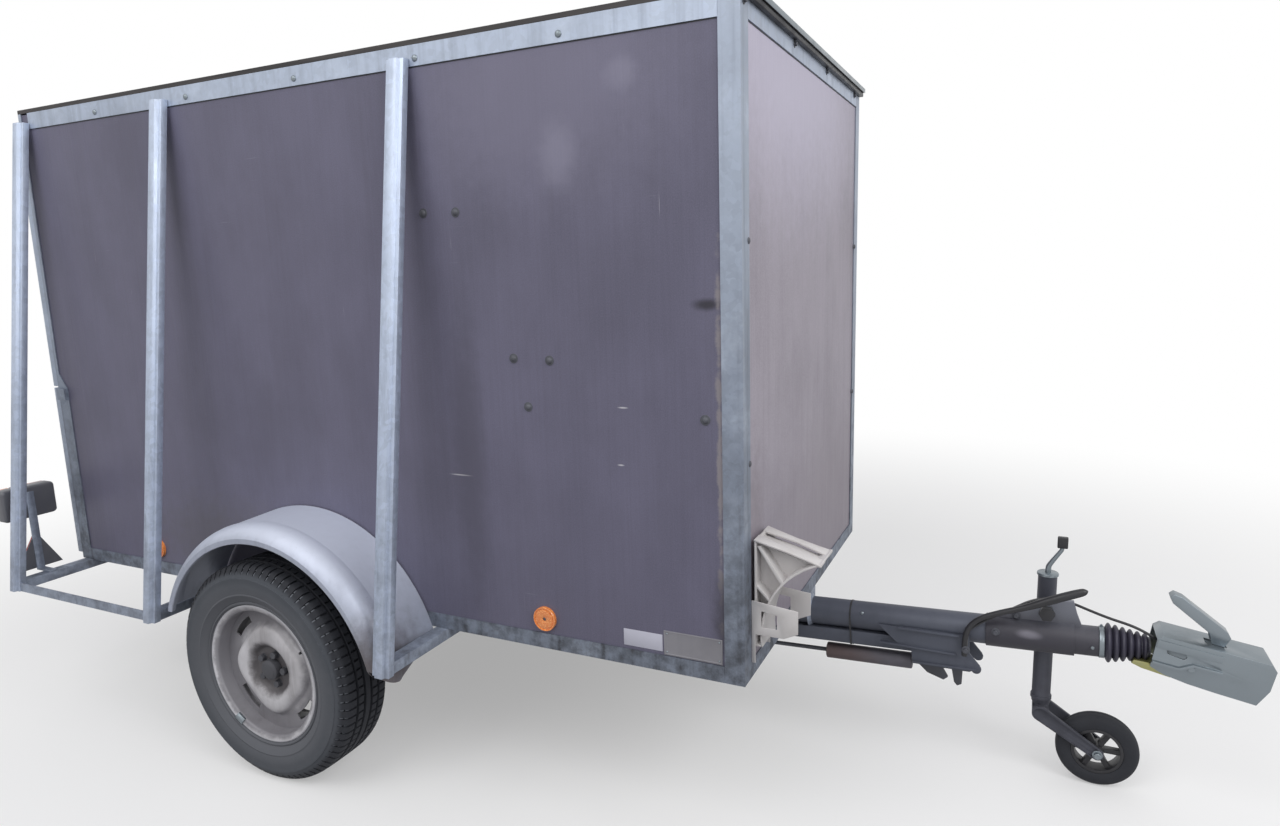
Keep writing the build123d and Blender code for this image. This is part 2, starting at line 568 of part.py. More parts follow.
# Saddles carry the tube under the front rail and under the first cross tube.
SADDLE_LENGTH = 60.0
SADDLE_WIDTH = 120.0
SADDLE_CHEEK = 34.0          # how far a saddle's cheeks reach down beside the tube
with BuildPart() as drawbar_saddle:
    for back, top in ((SADDLE_LENGTH, DECK_Z - WELD_GAP),
                      (FRONT_X - POST_XS[0] + SADDLE_LENGTH / 2, CROSS_Z - WELD_GAP)):
        with BuildSketch(Plane.YZ.offset(FRONT_X - back)):
            with Locations((0, top - SADDLE_CHEEK / 2)):
                Rectangle(SADDLE_WIDTH, SADDLE_CHEEK)
        extrude(amount=SADDLE_LENGTH)
    with BuildSketch(across_bar(-AXLE_SETBACK)):
        Circle(DRAWBAR_R + WELD_GAP)
    extrude(amount=2 * AXLE_SETBACK, mode=Mode.SUBTRACT)
drawbar_saddle.part.label = "drawbar_saddle"
export_step(drawbar_saddle.part, "parts/drawbar_saddle.step")

# ---------------------------------------------------------------- brake gear
BRACKET_Y = DRAWBAR_R + WELD_GAP
BRACKET_STEEL = 5.0
BRACKET_LEDGE = 8.0
BRACKET_EYE = 13.0
EYE_PLACE = (467.0, -102.0)
BRACKET_OUTLINE = ((207, -3), (450, -8), (450, -58), (477, -92), EYE_PLACE, (450, -112),
                   (300, -108), (296, -66), (268, -62))
LEDGES = (((262, -8), (424, -12)), ((212, -56), (415, -66)), ((300, -104), (466, -104)))
LEFT_LEDGE_REACH = 400.0     # the left ledges stop short of the raised jockey wheel
with BuildPart() as brake_bracket:
    for side in (-1, 1):
        with BuildSketch(beside_bar(side * BRACKET_Y)):
            with BuildLine():
                Polyline(*BRACKET_OUTLINE, close=True)
            make_face()
            with Locations(EYE_PLACE):
                Circle(BRACKET_EYE)
        extrude(amount=-side * BRACKET_STEEL)
        for (start_x, start_up), (end_x, end_up) in LEDGES:
            end_x = end_x if side < 0 else min(end_x, LEFT_LEDGE_REACH)
            with BuildSketch(beside_bar(side * BRACKET_Y)):
                with BuildLine():
                    Polyline((start_x, start_up), (end_x, end_up), (end_x, end_up + BRACKET_STEEL),
                             (start_x, start_up + BRACKET_STEEL), close=True)
                make_face()
            extrude(amount=-side * (BRACKET_STEEL + BRACKET_LEDGE))
    # One pin holds both plates together, under the beam's front end.
    with BuildSketch(beside_bar(BRACKET_Y)):
        with Locations((BEAM_REACH + 60, -90)):
            Circle(BRACKET_EYE)
    extrude(amount=2 * BRACKET_Y)
brake_bracket.part.label = "brake_bracket"
export_step(brake_bracket.part, "parts/brake_bracket.step")

SPRING_RADIUS = 23.0
SPRING_DROP = 122.0
SPRING_START = 48.0
SPRING_LENGTH = 245.0
ROD_RADIUS = 6.0
with BuildPart() as spring_cylinder:
    with BuildSketch(across_bar(SPRING_START)):
        with Locations((0, -SPRING_DROP)):
            Circle(SPRING_RADIUS)
    extrude(amount=SPRING_LENGTH)
    with BuildSketch(across_bar(SPRING_START + SPRING_LENGTH)):
        with Locations((0, -SPRING_DROP)):
            Circle(ROD_RADIUS)
    extrude(amount=SPRING_LENGTH / 3)
spring_cylinder.part.label = "spring_cylinder"
export_step(spring_cylinder.part, "parts/spring_cylinder.step")

YOKE_WIDTH = 160.0
YOKE_STEEL = 8.0
with BuildPart() as brake_rod:
    with BuildSketch(across_bar(SPRING_START - WELD_GAP)):
        with Locations((0, -SPRING_DROP)):
            Circle(ROD_RADIUS)
    extrude(amount=-(SPRING_START + AXLE_SETBACK - ARM_LENGTH))
    yoke_low = bar_place(AXLE_TUBE_X - FRONT_X, -SPRING_DROP).Z - 2 * ROD_RADIUS
    yoke_high = ARM_Z - AXLE_TUBE / 2 - WELD_GAP
    with BuildSketch(Plane.YZ.offset(AXLE_TUBE_X - YOKE_STEEL)):
        with Locations((0, (yoke_low + yoke_high) / 2)):
            Rectangle(YOKE_WIDTH, yoke_high - yoke_low)
    extrude(amount=YOKE_STEEL)
brake_rod.part.label = "brake_rod"
export_step(brake_rod.part, "parts/brake_rod.step")

# Bent strip lever, its upper arm folded into a channel for the hand.
LEVER_Y = HOUSING_DIAMETER / 2 + 10.0
LEVER_ROUTE = ((440, -62), (446, 22), (520, 70), (732, 158))
LEVER_BEND = 38.0
LEVER_PIVOT = (442.0, -40.0)
LEVER_STRIP = 20.0
LEVER_STEEL = 8.0
GRIP_START = (574.0, 92.4)
GRIP_WIDTH = 24.0
with BuildPart() as handbrake_lever:
    with BuildSketch(beside_bar(-LEVER_Y)):
        with BuildLine():
            FilletPolyline(*LEVER_ROUTE, radius=LEVER_BEND)
        trace(line_width=LEVER_STRIP)
    extrude(amount=LEVER_STEEL)
    with BuildSketch(beside_bar(-LEVER_Y)):
        with BuildLine():
            Line(GRIP_START, LEVER_ROUTE[-1])
        trace(line_width=GRIP_WIDTH)
    extrude(amount=2 * LEVER_STEEL)
    pivot_y = BRACKET_Y + BRACKET_STEEL + WELD_GAP
    with BuildSketch(beside_bar(-pivot_y)):
        with Locations(LEVER_PIVOT):
            Circle(BRACKET_EYE)
    extrude(amount=LEVER_Y + LEVER_STEEL / 2 - pivot_y)
handbrake_lever.part.label = "handbrake_lever"
export_step(handbrake_lever.part, "parts/handbrake_lever.step")

# ---------------------------------------------------------------- overrun device
WEB_HALF = 8.0
WEB_OUTLINE = ((495, 38), (620, 84), (655, 104), (704, 104), (712, 70), (724, 36))
KNOB_RADIUS = 20.0
KNOB_PLACE = (640.0, 75.0)
KNOB_REACH = 34.0
SHAFT_SEAT = 60.0            # how far the shaft stands inside its collar
with BuildPart() as overrun_housing:
    for start_x, length, diameter in ((DRAWBAR_REACH + WELD_GAP, HOUSING_LENGTH, HOUSING_DIAMETER),
                                      (HOUSING_END, COLLAR_LENGTH, COLLAR_DIAMETER)):
        with BuildSketch(across_bar(start_x)):
            Circle(diameter / 2)
        extrude(amount=length)
    with BuildSketch(BAR_PLANE):
        with BuildLine():
            Polyline(*WEB_OUTLINE, close=True)
        make_face()
    extrude(amount=WEB_HALF, both=True)
    with BuildSketch(across_bar(COLLAR_END + WELD_GAP)):
        Circle(SHAFT_DIAMETER / 2 + WELD_GAP)
    extrude(amount=-SHAFT_SEAT, mode=Mode.SUBTRACT)
overrun_housing.part.label = "overrun_housing"
export_step(overrun_housing.part, "parts/overrun_housing.step")

with BuildPart() as clamp_knob:
    with BuildSketch(beside_bar(-WEB_HALF - WELD_GAP)):
        with Locations(KNOB_PLACE):
            Circle(KNOB_RADIUS / 2)
    extrude(amount=KNOB_REACH)
    with BuildSketch(beside_bar(-WEB_HALF - KNOB_REACH / 2)):
        with Locations(KNOB_PLACE):
            RegularPolygon(KNOB_RADIUS, 6)
    extrude(amount=KNOB_REACH / 2)
clamp_knob.part.label = "clamp_knob"
export_step(clamp_knob.part, "parts/clamp_knob.step")

with BuildPart() as overrun_shaft:
    with BuildSketch(across_bar(COLLAR_END - SHAFT_SEAT + STEEL)):
        Circle(SHAFT_DIAMETER / 2)
    extrude(amount=SHAFT_SEAT + BELLOWS_LENGTH)
overrun_shaft.part.label = "overrun_shaft"
export_step(overrun_shaft.part, "parts/overrun_shaft.step")

# Folds of the bellows shrink towards the coupling.
BELLOWS_CUFF = 8.0
FOLD_DEPTH = 8.0
with BuildPart() as bellows:
    fold = (BELLOWS_LENGTH - 2 * BELLOWS_CUFF) / BELLOWS_FOLDS
    ridge = [(COLLAR_END + WELD_GAP, BELLOWS_DIAMETER / 2 - FOLD_DEPTH),
             (COLLAR_END + BELLOWS_CUFF, BELLOWS_DIAMETER / 2 - FOLD_DEPTH)]
    for turn in range(BELLOWS_FOLDS):
        crest = (BELLOWS_DIAMETER - turn * BELLOWS_TAPER) / 2
        start_x = COLLAR_END + BELLOWS_CUFF + fold * turn
        ridge += [(start_x + fold * 0.35, crest), (start_x + fold * 0.65, crest),
                  (start_x + fold, crest - FOLD_DEPTH - BELLOWS_TAPER / 2)]
    ridge += [(BELLOWS_END - WELD_GAP, ridge[-1][1]),
              (BELLOWS_END - WELD_GAP, SHAFT_DIAMETER / 2 + WELD_GAP),
              (COLLAR_END + WELD_GAP, SHAFT_DIAMETER / 2 + WELD_GAP)]
    with BuildSketch(BAR_PLANE):
        with BuildLine():
            Polyline(*ridge, close=True)
        make_face()
    revolve(axis=BAR_AXIS)
bellows.part.label = "bellows"
export_step(bellows.part, "parts/bellows.step")

# ---------------------------------------------------------------- coupling head
# Pressed channel, open below, with the ball socket in its nose; it sags on the shaft.
HEAD_ANGLE = radians(COUPLING_TILT - DRAWBAR_RISE)
HEAD_PLANE = Plane(origin=bar_place(BELLOWS_END, 0), x_dir=(cos(HEAD_ANGLE), 0, -sin(HEAD_ANGLE)),
                   z_dir=(0, -1, 0))
HEAD_UP = HEAD_PLANE.y_dir
SOCKET_X = COUPLING_LENGTH - SOCKET_SETBACK
HEAD_FOOT = COUPLING_TOP - COUPLING_HEIGHT
SOCKET_MOUTH = HEAD_FOOT + 6.0
HEAD_OUTLINE = ((4, -28), (4, 46), (16, COUPLING_TOP), (COUPLING_LENGTH - 12, COUPLING_TOP),
                (COUPLING_LENGTH, COUPLING_TOP - 14), (COUPLING_LENGTH - 2, -8),
                (COUPLING_LENGTH - 20, HEAD_FOOT - 2), (150, HEAD_FOOT), (90, HEAD_FOOT + 3),
                (36, -40))
FLANGE_REACH = 12.0
FLANGE_OUTLINE = ((4, -14), (66, -14), (92, 4), (150, 4), (150, 10), (88, 10), (62, -8), (4, -8))
SLOT_WIDTH = 30.0
with BuildPart() as coupling_head:
    with BuildSketch(HEAD_PLANE):
        with BuildLine():
            Polyline(*HEAD_OUTLINE, close=True)
        make_face()
    extrude(amount=COUPLING_WIDTH / 2, both=True)
    with BuildSketch(HEAD_PLANE):
        with BuildLine():
            Polyline((-COUPLING_WALL, HEAD_FOOT - 10), (-COUPLING_WALL, 40),
                     (20, COUPLING_TOP - COUPLING_WALL),
                     (COUPLING_LENGTH - 14, COUPLING_TOP - COUPLING_WALL),
                     (COUPLING_LENGTH - COUPLING_WALL, COUPLING_TOP - 18),
                     (COUPLING_LENGTH - COUPLING_WALL - 2, -8),
                     (COUPLING_LENGTH - COUPLING_WALL - 18, HEAD_FOOT - 10), close=True)
        make_face()
    extrude(amount=COUPLING_WIDTH / 2 - COUPLING_WALL, both=True, mode=Mode.SUBTRACT)
    # Stepped stiffening flange along both sides, and an oblong opening behind it.
    with BuildSketch(HEAD_PLANE):
        with BuildLine():
            Polyline(*FLANGE_OUTLINE, close=True)
        make_face()
    extrude(amount=COUPLING_WIDTH / 2 + FLANGE_REACH, both=True)
    with BuildSketch(HEAD_PLANE):
        with BuildLine():
            Polyline(*FLANGE_OUTLINE, close=True)
        make_face()
        with Locations((52, 22)):
            SlotOverall(44, 16, rotation=-6)
    extrude(amount=COUPLING_WIDTH / 2 - COUPLING_WALL, both=True, mode=Mode.SUBTRACT)
    with BuildSketch(HEAD_PLANE):
        with Locations((52, 22)):
            SlotOverall(44, 16, rotation=-6)
    extrude(amount=COUPLING_WIDTH, both=True, mode=Mode.SUBTRACT)
    top_plane = Plane(origin=HEAD_PLANE.from_local_coords((0, COUPLING_TOP, 0)),
                      x_dir=HEAD_PLANE.x_dir, z_dir=HEAD_UP)
    with BuildSketch(top_plane):
        with Locations((132, 0)):
            Rectangle(46, SLOT_WIDTH)
    extrude(amount=-2 * COUPLING_WALL, mode=Mode.SUBTRACT)
    socket_plane = Plane(origin=HEAD_PLANE.from_local_coords((SOCKET_X, SOCKET_MOUTH, 0)),
                         x_dir=(0, 1, 0), z_dir=HEAD_UP)
    with BuildSketch(socket_plane):
        Circle(BALL_DIAMETER / 2 + 10)
    extrude(amount=COUPLING_TOP - COUPLING_WALL - SOCKET_MOUTH)
    with BuildSketch(socket_plane):
        Circle(BALL_DIAMETER / 2 + BALL_CLEARANCE)
    extrude(amount=SOCKET_LENGTH, mode=Mode.SUBTRACT)
coupling_head.part.label = "coupling_head"
export_step(coupling_head.part, "parts/coupling_head.step")

# Handle: a channel open below, pivoted between ears through the head's top.
HANDLE_HALF = 17.0
HANDLE_OUTLINE = ((126, 48), (146, 48), (158, 84), (148, 97), (40, 156), (20, 160), (12, 150),
                  (22, 136), (112, 84))
HANDLE_INSIDE = ((120, 40), (142, 40), (152, 84), (144, 92), (38, 150), (22, 130), (100, 70))
with BuildPart() as coupling_handle:
    with BuildSketch(HEAD_PLANE):
        with BuildLine():
            Polyline(*HANDLE_OUTLINE, close=True)
        make_face()
    extrude(amount=HANDLE_HALF, both=True)
    with BuildSketch(HEAD_PLANE):
        with BuildLine():
            Polyline(*HANDLE_INSIDE, close=True)
        make_face()
    extrude(amount=HANDLE_HALF - STEEL, both=True, mode=Mode.SUBTRACT)
    with BuildSketch(HEAD_PLANE):
        with BuildLine():
            Polyline((112, COUPLING_TOP + WELD_GAP), (100, 40), (160, 40),
                     (160, COUPLING_TOP + WELD_GAP), close=True)
        make_face()
    extrude(amount=COUPLING_WIDTH, both=True, mode=Mode.SUBTRACT)
coupling_handle.part.label = "coupling_handle"
export_step(coupling_handle.part, "parts/coupling_handle.step")

# ---------------------------------------------------------------- jockey wheel
JOCKEY_X = FRONT_X + JOCKEY_REACH
JOCKEY_WHEEL_X = JOCKEY_X + JOCKEY_TRAIL
TUBE_R = JOCKEY_TUBE / 2
CLAMP_GAP = 0.3
CLAMP_STEEL = 7.0
CLAMP_HEIGHT = 75.0
CLAMP_DROP = 34.0            # drawbar axis to the foot of the clamp
INNER_R = TUBE_R - JOCKEY_WALL - 0.1
CAP_HEIGHT = 6.0
FORK_TOP = JOCKEY_TUBE_BOTTOM - 8.0
FORK_CROWN = 14.0
JOCKEY_FREE = 90.0           # top of the tube to the top of the fork's stem

with BuildPart() as jockey_clamp:
    with BuildSketch(Plane.XY.offset(bar_place(JOCKEY_REACH, -CLAMP_DROP).Z)):
        with Locations((JOCKEY_X, JOCKEY_OFFSET)):
            Circle(TUBE_R + CLAMP_STEEL)
        with Locations((JOCKEY_X, (JOCKEY_OFFSET + HOUSING_DIAMETER / 2) / 2)):
            Rectangle(JOCKEY_TUBE, JOCKEY_OFFSET - HOUSING_DIAMETER / 2 - 2 * FIT_GAP)
        with Locations((JOCKEY_X, JOCKEY_OFFSET)):
            Circle(TUBE_R + CLAMP_GAP, mode=Mode.SUBTRACT)
    extrude(amount=CLAMP_HEIGHT)
jockey_clamp.part.label = "jockey_clamp"
export_step(jockey_clamp.part, "parts/jockey_clamp.step")

COLLAR_RING = 10.0
with BuildPart() as jockey_tube:
    with BuildSketch(Plane.XY.offset(JOCKEY_TUBE_BOTTOM)):
        with Locations((JOCKEY_X, JOCKEY_OFFSET)):
            Circle(TUBE_R)
            Circle(TUBE_R - JOCKEY_WALL, mode=Mode.SUBTRACT)
    extrude(amount=JOCKEY_TUBE_TOP - JOCKEY_TUBE_BOTTOM)
    with BuildSketch(Plane.XY.offset(JOCKEY_TUBE_TOP)):
        with Locations((JOCKEY_X, JOCKEY_OFFSET)):
            Circle(TUBE_R + 1)
    extrude(amount=CAP_HEIGHT)
    with BuildSketch(Plane.XY.offset(JOCKEY_TUBE_BOTTOM + COLLAR_RING)):
        with Locations((JOCKEY_X, JOCKEY_OFFSET)):
            Circle(TUBE_R + STEEL)
            Circle(TUBE_R - JOCKEY_WALL, mode=Mode.SUBTRACT)
    extrude(amount=COLLAR_RING)
jockey_tube.part.label = "jockey_tube"
export_step(jockey_tube.part, "parts/jockey_tube.step")

CRANK_REACH = 37.0
CRANK_RISE = 80.0
CRANK_STEEL = 12.0
CRANK_BEND = 10.0
GRIP_RADIUS = 8.0
GRIP_LENGTH = 32.0
with BuildPart() as jockey_crank:
    crank_foot = JOCKEY_TUBE_TOP + CAP_HEIGHT + WELD_GAP
    with BuildSketch(Plane.XZ.offset(-JOCKEY_OFFSET)):
        with BuildLine():
            FilletPolyline((JOCKEY_X, crank_foot), (JOCKEY_X, crank_foot + 2 * CRANK_BEND),
                           (JOCKEY_X + CRANK_REACH, crank_foot + CRANK_RISE), radius=CRANK_BEND)
        trace(line_width=CRANK_STEEL)
    extrude(amount=CRANK_STEEL / 2, both=True)
    with BuildSketch(Plane.XY.offset(crank_foot + CRANK_RISE - CRANK_STEEL / 2)):
        with Locations((JOCKEY_X + CRANK_REACH, JOCKEY_OFFSET)):
            Circle(GRIP_RADIUS)
    extrude(amount=GRIP_LENGTH)
jockey_crank.part.label = "jockey_crank"
export_step(jockey_crank.part, "parts/jockey_crank.step")

FORK_HALF = JOCKEY_WHEEL_WIDTH / 2 + 6.0
FORK_PLATE = 3.0
FORK_FLANGE = 9.0
FORK_ROOT = 21.0
FORK_TOE = 15.5
with BuildPart() as jockey_fork:
    with BuildSketch(Plane.XY.offset(FORK_TOP)):
        with Locations((JOCKEY_X, JOCKEY_OFFSET)):
            Circle(INNER_R)
    extrude(amount=JOCKEY_TUBE_TOP - FORK_TOP - JOCKEY_FREE)
    with BuildSketch(Plane.XY.offset(FORK_TOP - FORK_CROWN)):
        with Locations((JOCKEY_X, JOCKEY_OFFSET)):
            Rectangle(2 * FORK_ROOT, 2 * (FORK_HALF + FORK_FLANGE))
    extrude(amount=FORK_CROWN)
    # Each arm is a channel: a plate beside the wheel with its edges folded outwards.
    for side in (-1, 1):
        for inset, thickness, mode in ((0, FORK_FLANGE, Mode.ADD),
                                       (FORK_PLATE, FORK_FLANGE - FORK_PLATE, Mode.SUBTRACT)):
            near = FORK_HALF + inset
            with BuildSketch(Plane.XZ.offset(-JOCKEY_OFFSET - side * near)):
                with Locations((JOCKEY_X, FORK_TOP - FORK_CROWN - inset)):
                    Circle(FORK_ROOT - inset)
                with Locations((JOCKEY_WHEEL_X, JOCKEY_WHEEL_RADIUS)):
                    Circle(FORK_TOE - inset)
                make_hull()
            extrude(amount=-side * thickness, mode=mode)
    with BuildSketch(Plane.XZ.offset(-JOCKEY_OFFSET - FORK_HALF - FORK_FLANGE)):
        with Locations((JOCKEY_WHEEL_X, JOCKEY_WHEEL_RADIUS)):
            Circle(JOCKEY_AXLE / 2)
    extrude(amount=2 * (FORK_HALF + FORK_FLANGE))
jockey_fork.part.label = "jockey_fork"
export_step(jockey_fork.part, "parts/jockey_fork.step")

JOCKEY_AXIS = Axis((JOCKEY_WHEEL_X, 0, JOCKEY_WHEEL_RADIUS), (0, 1, 0))
JOCKEY_PLANE = Plane(origin=(JOCKEY_WHEEL_X, JOCKEY_OFFSET, JOCKEY_WHEEL_RADIUS),
                     x_dir=(0, 0, 1), z_dir=(-1, 0, 0))
JOCKEY_SIDE = Plane(origin=JOCKEY_PLANE.origin, x_dir=(1, 0, 0), z_dir=(0, 1, 0))
JOCKEY_HALF = JOCKEY_WHEEL_WIDTH / 2
JOCKEY_HUB = 16.0
JOCKEY_BAND = 8.0
SPOKE_WIDTH = 13.0
SPOKE_HALF = 9.0
with BuildPart() as jockey_rim:
    with BuildSketch(JOCKEY_SIDE):
        Circle(JOCKEY_RIM)
        Circle(JOCKEY_RIM - JOCKEY_BAND, mode=Mode.SUBTRACT)
    extrude(amount=JOCKEY_HALF - STEEL, both=True)
    with BuildSketch(JOCKEY_SIDE):
        with PolarLocations((JOCKEY_RIM - JOCKEY_BAND / 2) / 2, JOCKEY_SPOKES):
            Rectangle(JOCKEY_RIM - JOCKEY_BAND / 2, SPOKE_WIDTH)
    extrude(amount=SPOKE_HALF, both=True)
    with BuildSketch(JOCKEY_SIDE):
        Circle(JOCKEY_HUB)
    extrude(amount=JOCKEY_HALF + 1, both=True)
    with BuildSketch(JOCKEY_SIDE):
        Circle(JOCKEY_AXLE / 2 + SHAFT_CLEARANCE)
    extrude(amount=JOCKEY_WHEEL_WIDTH, both=True, mode=Mode.SUBTRACT)
jockey_rim.part.label = "jockey_rim"
export_step(jockey_rim.part, "parts/jockey_rim.step")

JOCKEY_SHOULDER = 8.0
with BuildPart() as jockey_tyre:
    with BuildSketch(JOCKEY_PLANE):
        with BuildLine():
            Polyline((JOCKEY_RIM + 0.3, JOCKEY_HALF), (JOCKEY_RIM + 0.3, -JOCKEY_HALF),
                     (JOCKEY_WHEEL_RADIUS - JOCKEY_SHOULDER, -JOCKEY_HALF),
                     (JOCKEY_WHEEL_RADIUS, JOCKEY_SHOULDER - JOCKEY_HALF),
                     (JOCKEY_WHEEL_RADIUS, JOCKEY_HALF - JOCKEY_SHOULDER),
                     (JOCKEY_WHEEL_RADIUS - JOCKEY_SHOULDER, JOCKEY_HALF), close=True)
        make_face()
    revolve(axis=JOCKEY_AXIS)
jockey_tyre.part.label = "jockey_tyre"
export_step(jockey_tyre.part, "parts/jockey_tyre.step")

# ---------------------------------------------------------------- rear doors
DOOR_OUTER_X = REAR_X - DOOR_GAP - DOOR_THICKNESS
GATE_HINGE_Z = GATE_BOTTOM - HINGE_DIAMETER / 2 - STEEL
FLAP_TOP = ROOF_Z - 22.0
FLAP_BOTTOM = GATE_TOP + DOOR_GAP
FLAP_HINGE_Z = FLAP_TOP + HINGE_DIAMETER / 2 + STEEL
DOOR_HALF = SIDE_Y - 4.0
STILE = 40.0
BOARD_INSET = 6.0
CHANNEL_WALL = 3.0

HINGE_SPACING = (2 * DOOR_HALF - 3 * HINGE_LENGTH) / (HINGE_COUNT - 1)

for name, low, high, hinge_z, hinge_edge in (
        ("tailgate", GATE_BOTTOM, GATE_TOP, GATE_HINGE_Z, GATE_BOTTOM),
        ("upper_flap", FLAP_BOTTOM, FLAP_TOP, FLAP_HINGE_Z, FLAP_TOP)):
    with BuildPart() as door_frame:
        with BuildSketch(Plane.YZ.offset(DOOR_OUTER_X)):
            with Locations((0, (low + high) / 2)):
                Rectangle(2 * DOOR_HALF, high - low)
                Rectangle(2 * (DOOR_HALF - STILE), high - low - 2 * STILE, mode=Mode.SUBTRACT)
        extrude(amount=DOOR_THICKNESS)
        with BuildSketch(Plane.YZ.offset(DOOR_OUTER_X + BOARD_INSET)):
            with Locations((0, (low + high) / 2)):
                Rectangle(2 * (DOOR_HALF - STILE / 2), high - low - STILE)
        extrude(amount=PANEL + 2 * WELD_GAP, mode=Mode.SUBTRACT)
        # Folded edge: a channel round the frame, open towards the load.
        with BuildSketch(Plane.YZ.offset(DOOR_OUTER_X + CHANNEL_WALL)):
            with Locations((0, (low + high) / 2)):
                Rectangle(2 * (DOOR_HALF - CHANNEL_WALL), high - low - 2 * CHANNEL_WALL)
                Rectangle(2 * (DOOR_HALF - STILE / 2 + CHANNEL_WALL),
                          high - low - STILE + 2 * CHANNEL_WALL, mode=Mode.SUBTRACT)
        extrude(amount=DOOR_THICKNESS, mode=Mode.SUBTRACT)
        # Hinge knuckles, each on a leaf from the frame's edge.
        for row in range(HINGE_COUNT):
            start_y = HINGE_SPACING * (row - (HINGE_COUNT - 1) / 2) + HINGE_LENGTH / 2
            with BuildSketch(Plane.XZ.offset(-start_y)):
                with Locations((DOOR_OUTER_X + DOOR_THICKNESS / 2, hinge_z)):
                    Circle(HINGE_DIAMETER / 2)
                with Locations((DOOR_OUTER_X + DOOR_THICKNESS / 2, (hinge_z + hinge_edge) / 2)):
                    Rectangle(HINGE_LEAF, abs(hinge_z - hinge_edge) + CHANNEL_WALL)
            extrude(amount=HINGE_LENGTH)
    door_frame.part.label = name + "_frame"
    export_step(door_frame.part, "parts/" + name + "_frame.step")
    with BuildPart() as door_board:
        with BuildSketch(Plane.YZ.offset(DOOR_OUTER_X + BOARD_INSET + WELD_GAP)):
            with Locations((0, (low + high) / 2)):
                Rectangle(2 * (DOOR_HALF - STILE / 2 - WELD_GAP), high - low - STILE - 2 * WELD_GAP)
        extrude(amount=PANEL)
    door_board.part.label = name + "_board"
    export_step(door_board.part, "parts/" + name + "_board.step")

# ---------------------------------------------------------------- rear lamps
LAMP_WIDTH = 170.0
LAMP_HEIGHT = 110.0
LAMP_DEPTH = 48.0
LAMP_CORNER = 14.0
LAMP_RISE = 240.0            # underside of the box to the middle of the lamps
LENS_DEPTH = 22.0
LENS_RIM = 3.0
LAMP_Y = CROSS_Y - LAMP_WIDTH / 2 - 6.0
LAMP_Z = DECK_Z + LAMP_RISE
LAMP_BACK = REAR_X - REAR_REACH
STAY_WIDTH = 26.0
STAY_STEEL = 5.0
STAY_X = LAMP_BACK + LENS_DEPTH + LAMP_DEPTH + WELD_GAP
TRIANGLE_SIDE = 150.0
TRIANGLE_RISE = 50.0
TRIANGLE_DEPTH = 8.0

with BuildPart() as lamp_housings:
    with BuildSketch(Plane.YZ.offset(LAMP_BACK + LENS_DEPTH + WELD_GAP)):
        with Locations((-LAMP_Y, LAMP_Z), (LAMP_Y, LAMP_Z)):
            RectangleRounded(LAMP_WIDTH, LAMP_HEIGHT, LAMP_CORNER)
    extrude(amount=LAMP_DEPTH - WELD_GAP)
lamp_housings.part.label = "lamp_housings"
export_step(lamp_housings.part, "parts/lamp_housings.step")

with BuildPart() as lamp_lenses:
    with BuildSketch(Plane.YZ.offset(LAMP_BACK)):
        with Locations((-LAMP_Y, LAMP_Z), (LAMP_Y, LAMP_Z)):
            RectangleRounded(LAMP_WIDTH - 2 * LENS_RIM, LAMP_HEIGHT - 2 * LENS_RIM,
                             LAMP_CORNER - LENS_RIM)
    extrude(amount=LENS_DEPTH)
lamp_lenses.part.label = "lamp_lenses"
export_step(lamp_lenses.part, "parts/lamp_lenses.step")

STAY_TOP = LAMP_Z + LAMP_HEIGHT / 3
STAY_FOOT = POST_XS[2] + CROSS_WIDTH / 2
with BuildPart() as lamp_stays:
    for side in (-1, 1):
        with BuildSketch(Plane.YZ.offset(STAY_X)):
            with Locations((side * LAMP_Y, (DECK_Z + STAY_TOP) / 2)):
                Rectangle(STAY_WIDTH, STAY_TOP - DECK_Z)
        extrude(amount=STAY_STEEL)
        with BuildSketch(Plane.XY.offset(DECK_Z)):
            with Locations(((STAY_X + STAY_FOOT) / 2, side * LAMP_Y)):
                Rectangle(STAY_FOOT - STAY_X, STAY_WIDTH)
        extrude(amount=STAY_STEEL)
lamp_stays.part.label = "lamp_stays"
export_step(lamp_stays.part, "parts/lamp_stays.step")

with BuildPart() as triangle_reflectors:
    with BuildSketch(Plane.YZ.offset(STAY_X - WELD_GAP - TRIANGLE_DEPTH)):
        with Locations((-LAMP_Y, DECK_Z + TRIANGLE_RISE), (LAMP_Y, DECK_Z + TRIANGLE_RISE)):
            RegularPolygon(TRIANGLE_SIDE / sqrt(3), 3, rotation=90)
    extrude(amount=TRIANGLE_DEPTH)
triangle_reflectors.part.label = "triangle_reflectors"
export_step(triangle_reflectors.part, "parts/triangle_reflectors.step")

REFLECTOR_RADIUS = 32.5
REFLECTOR_DEPTH = 10.0
REFLECTOR_SPOTS = ((543.0, 82.0), (BOX_LENGTH - 430.0, 87.0))   # behind the front wall, up
with BuildPart() as side_reflectors:
    for side in (-1, 1):
        with BuildSketch(Plane.XZ.offset(-side * (SIDE_Y - WALL_FACE + WELD_GAP))):
            with Locations(*from_wall(*[(-back, up) for back, up in REFLECTOR_SPOTS])):
                Circle(REFLECTOR_RADIUS)
        extrude(amount=-side * REFLECTOR_DEPTH)
side_reflectors.part.label = "side_reflectors"
export_step(side_reflectors.part, "parts/side_reflectors.step")

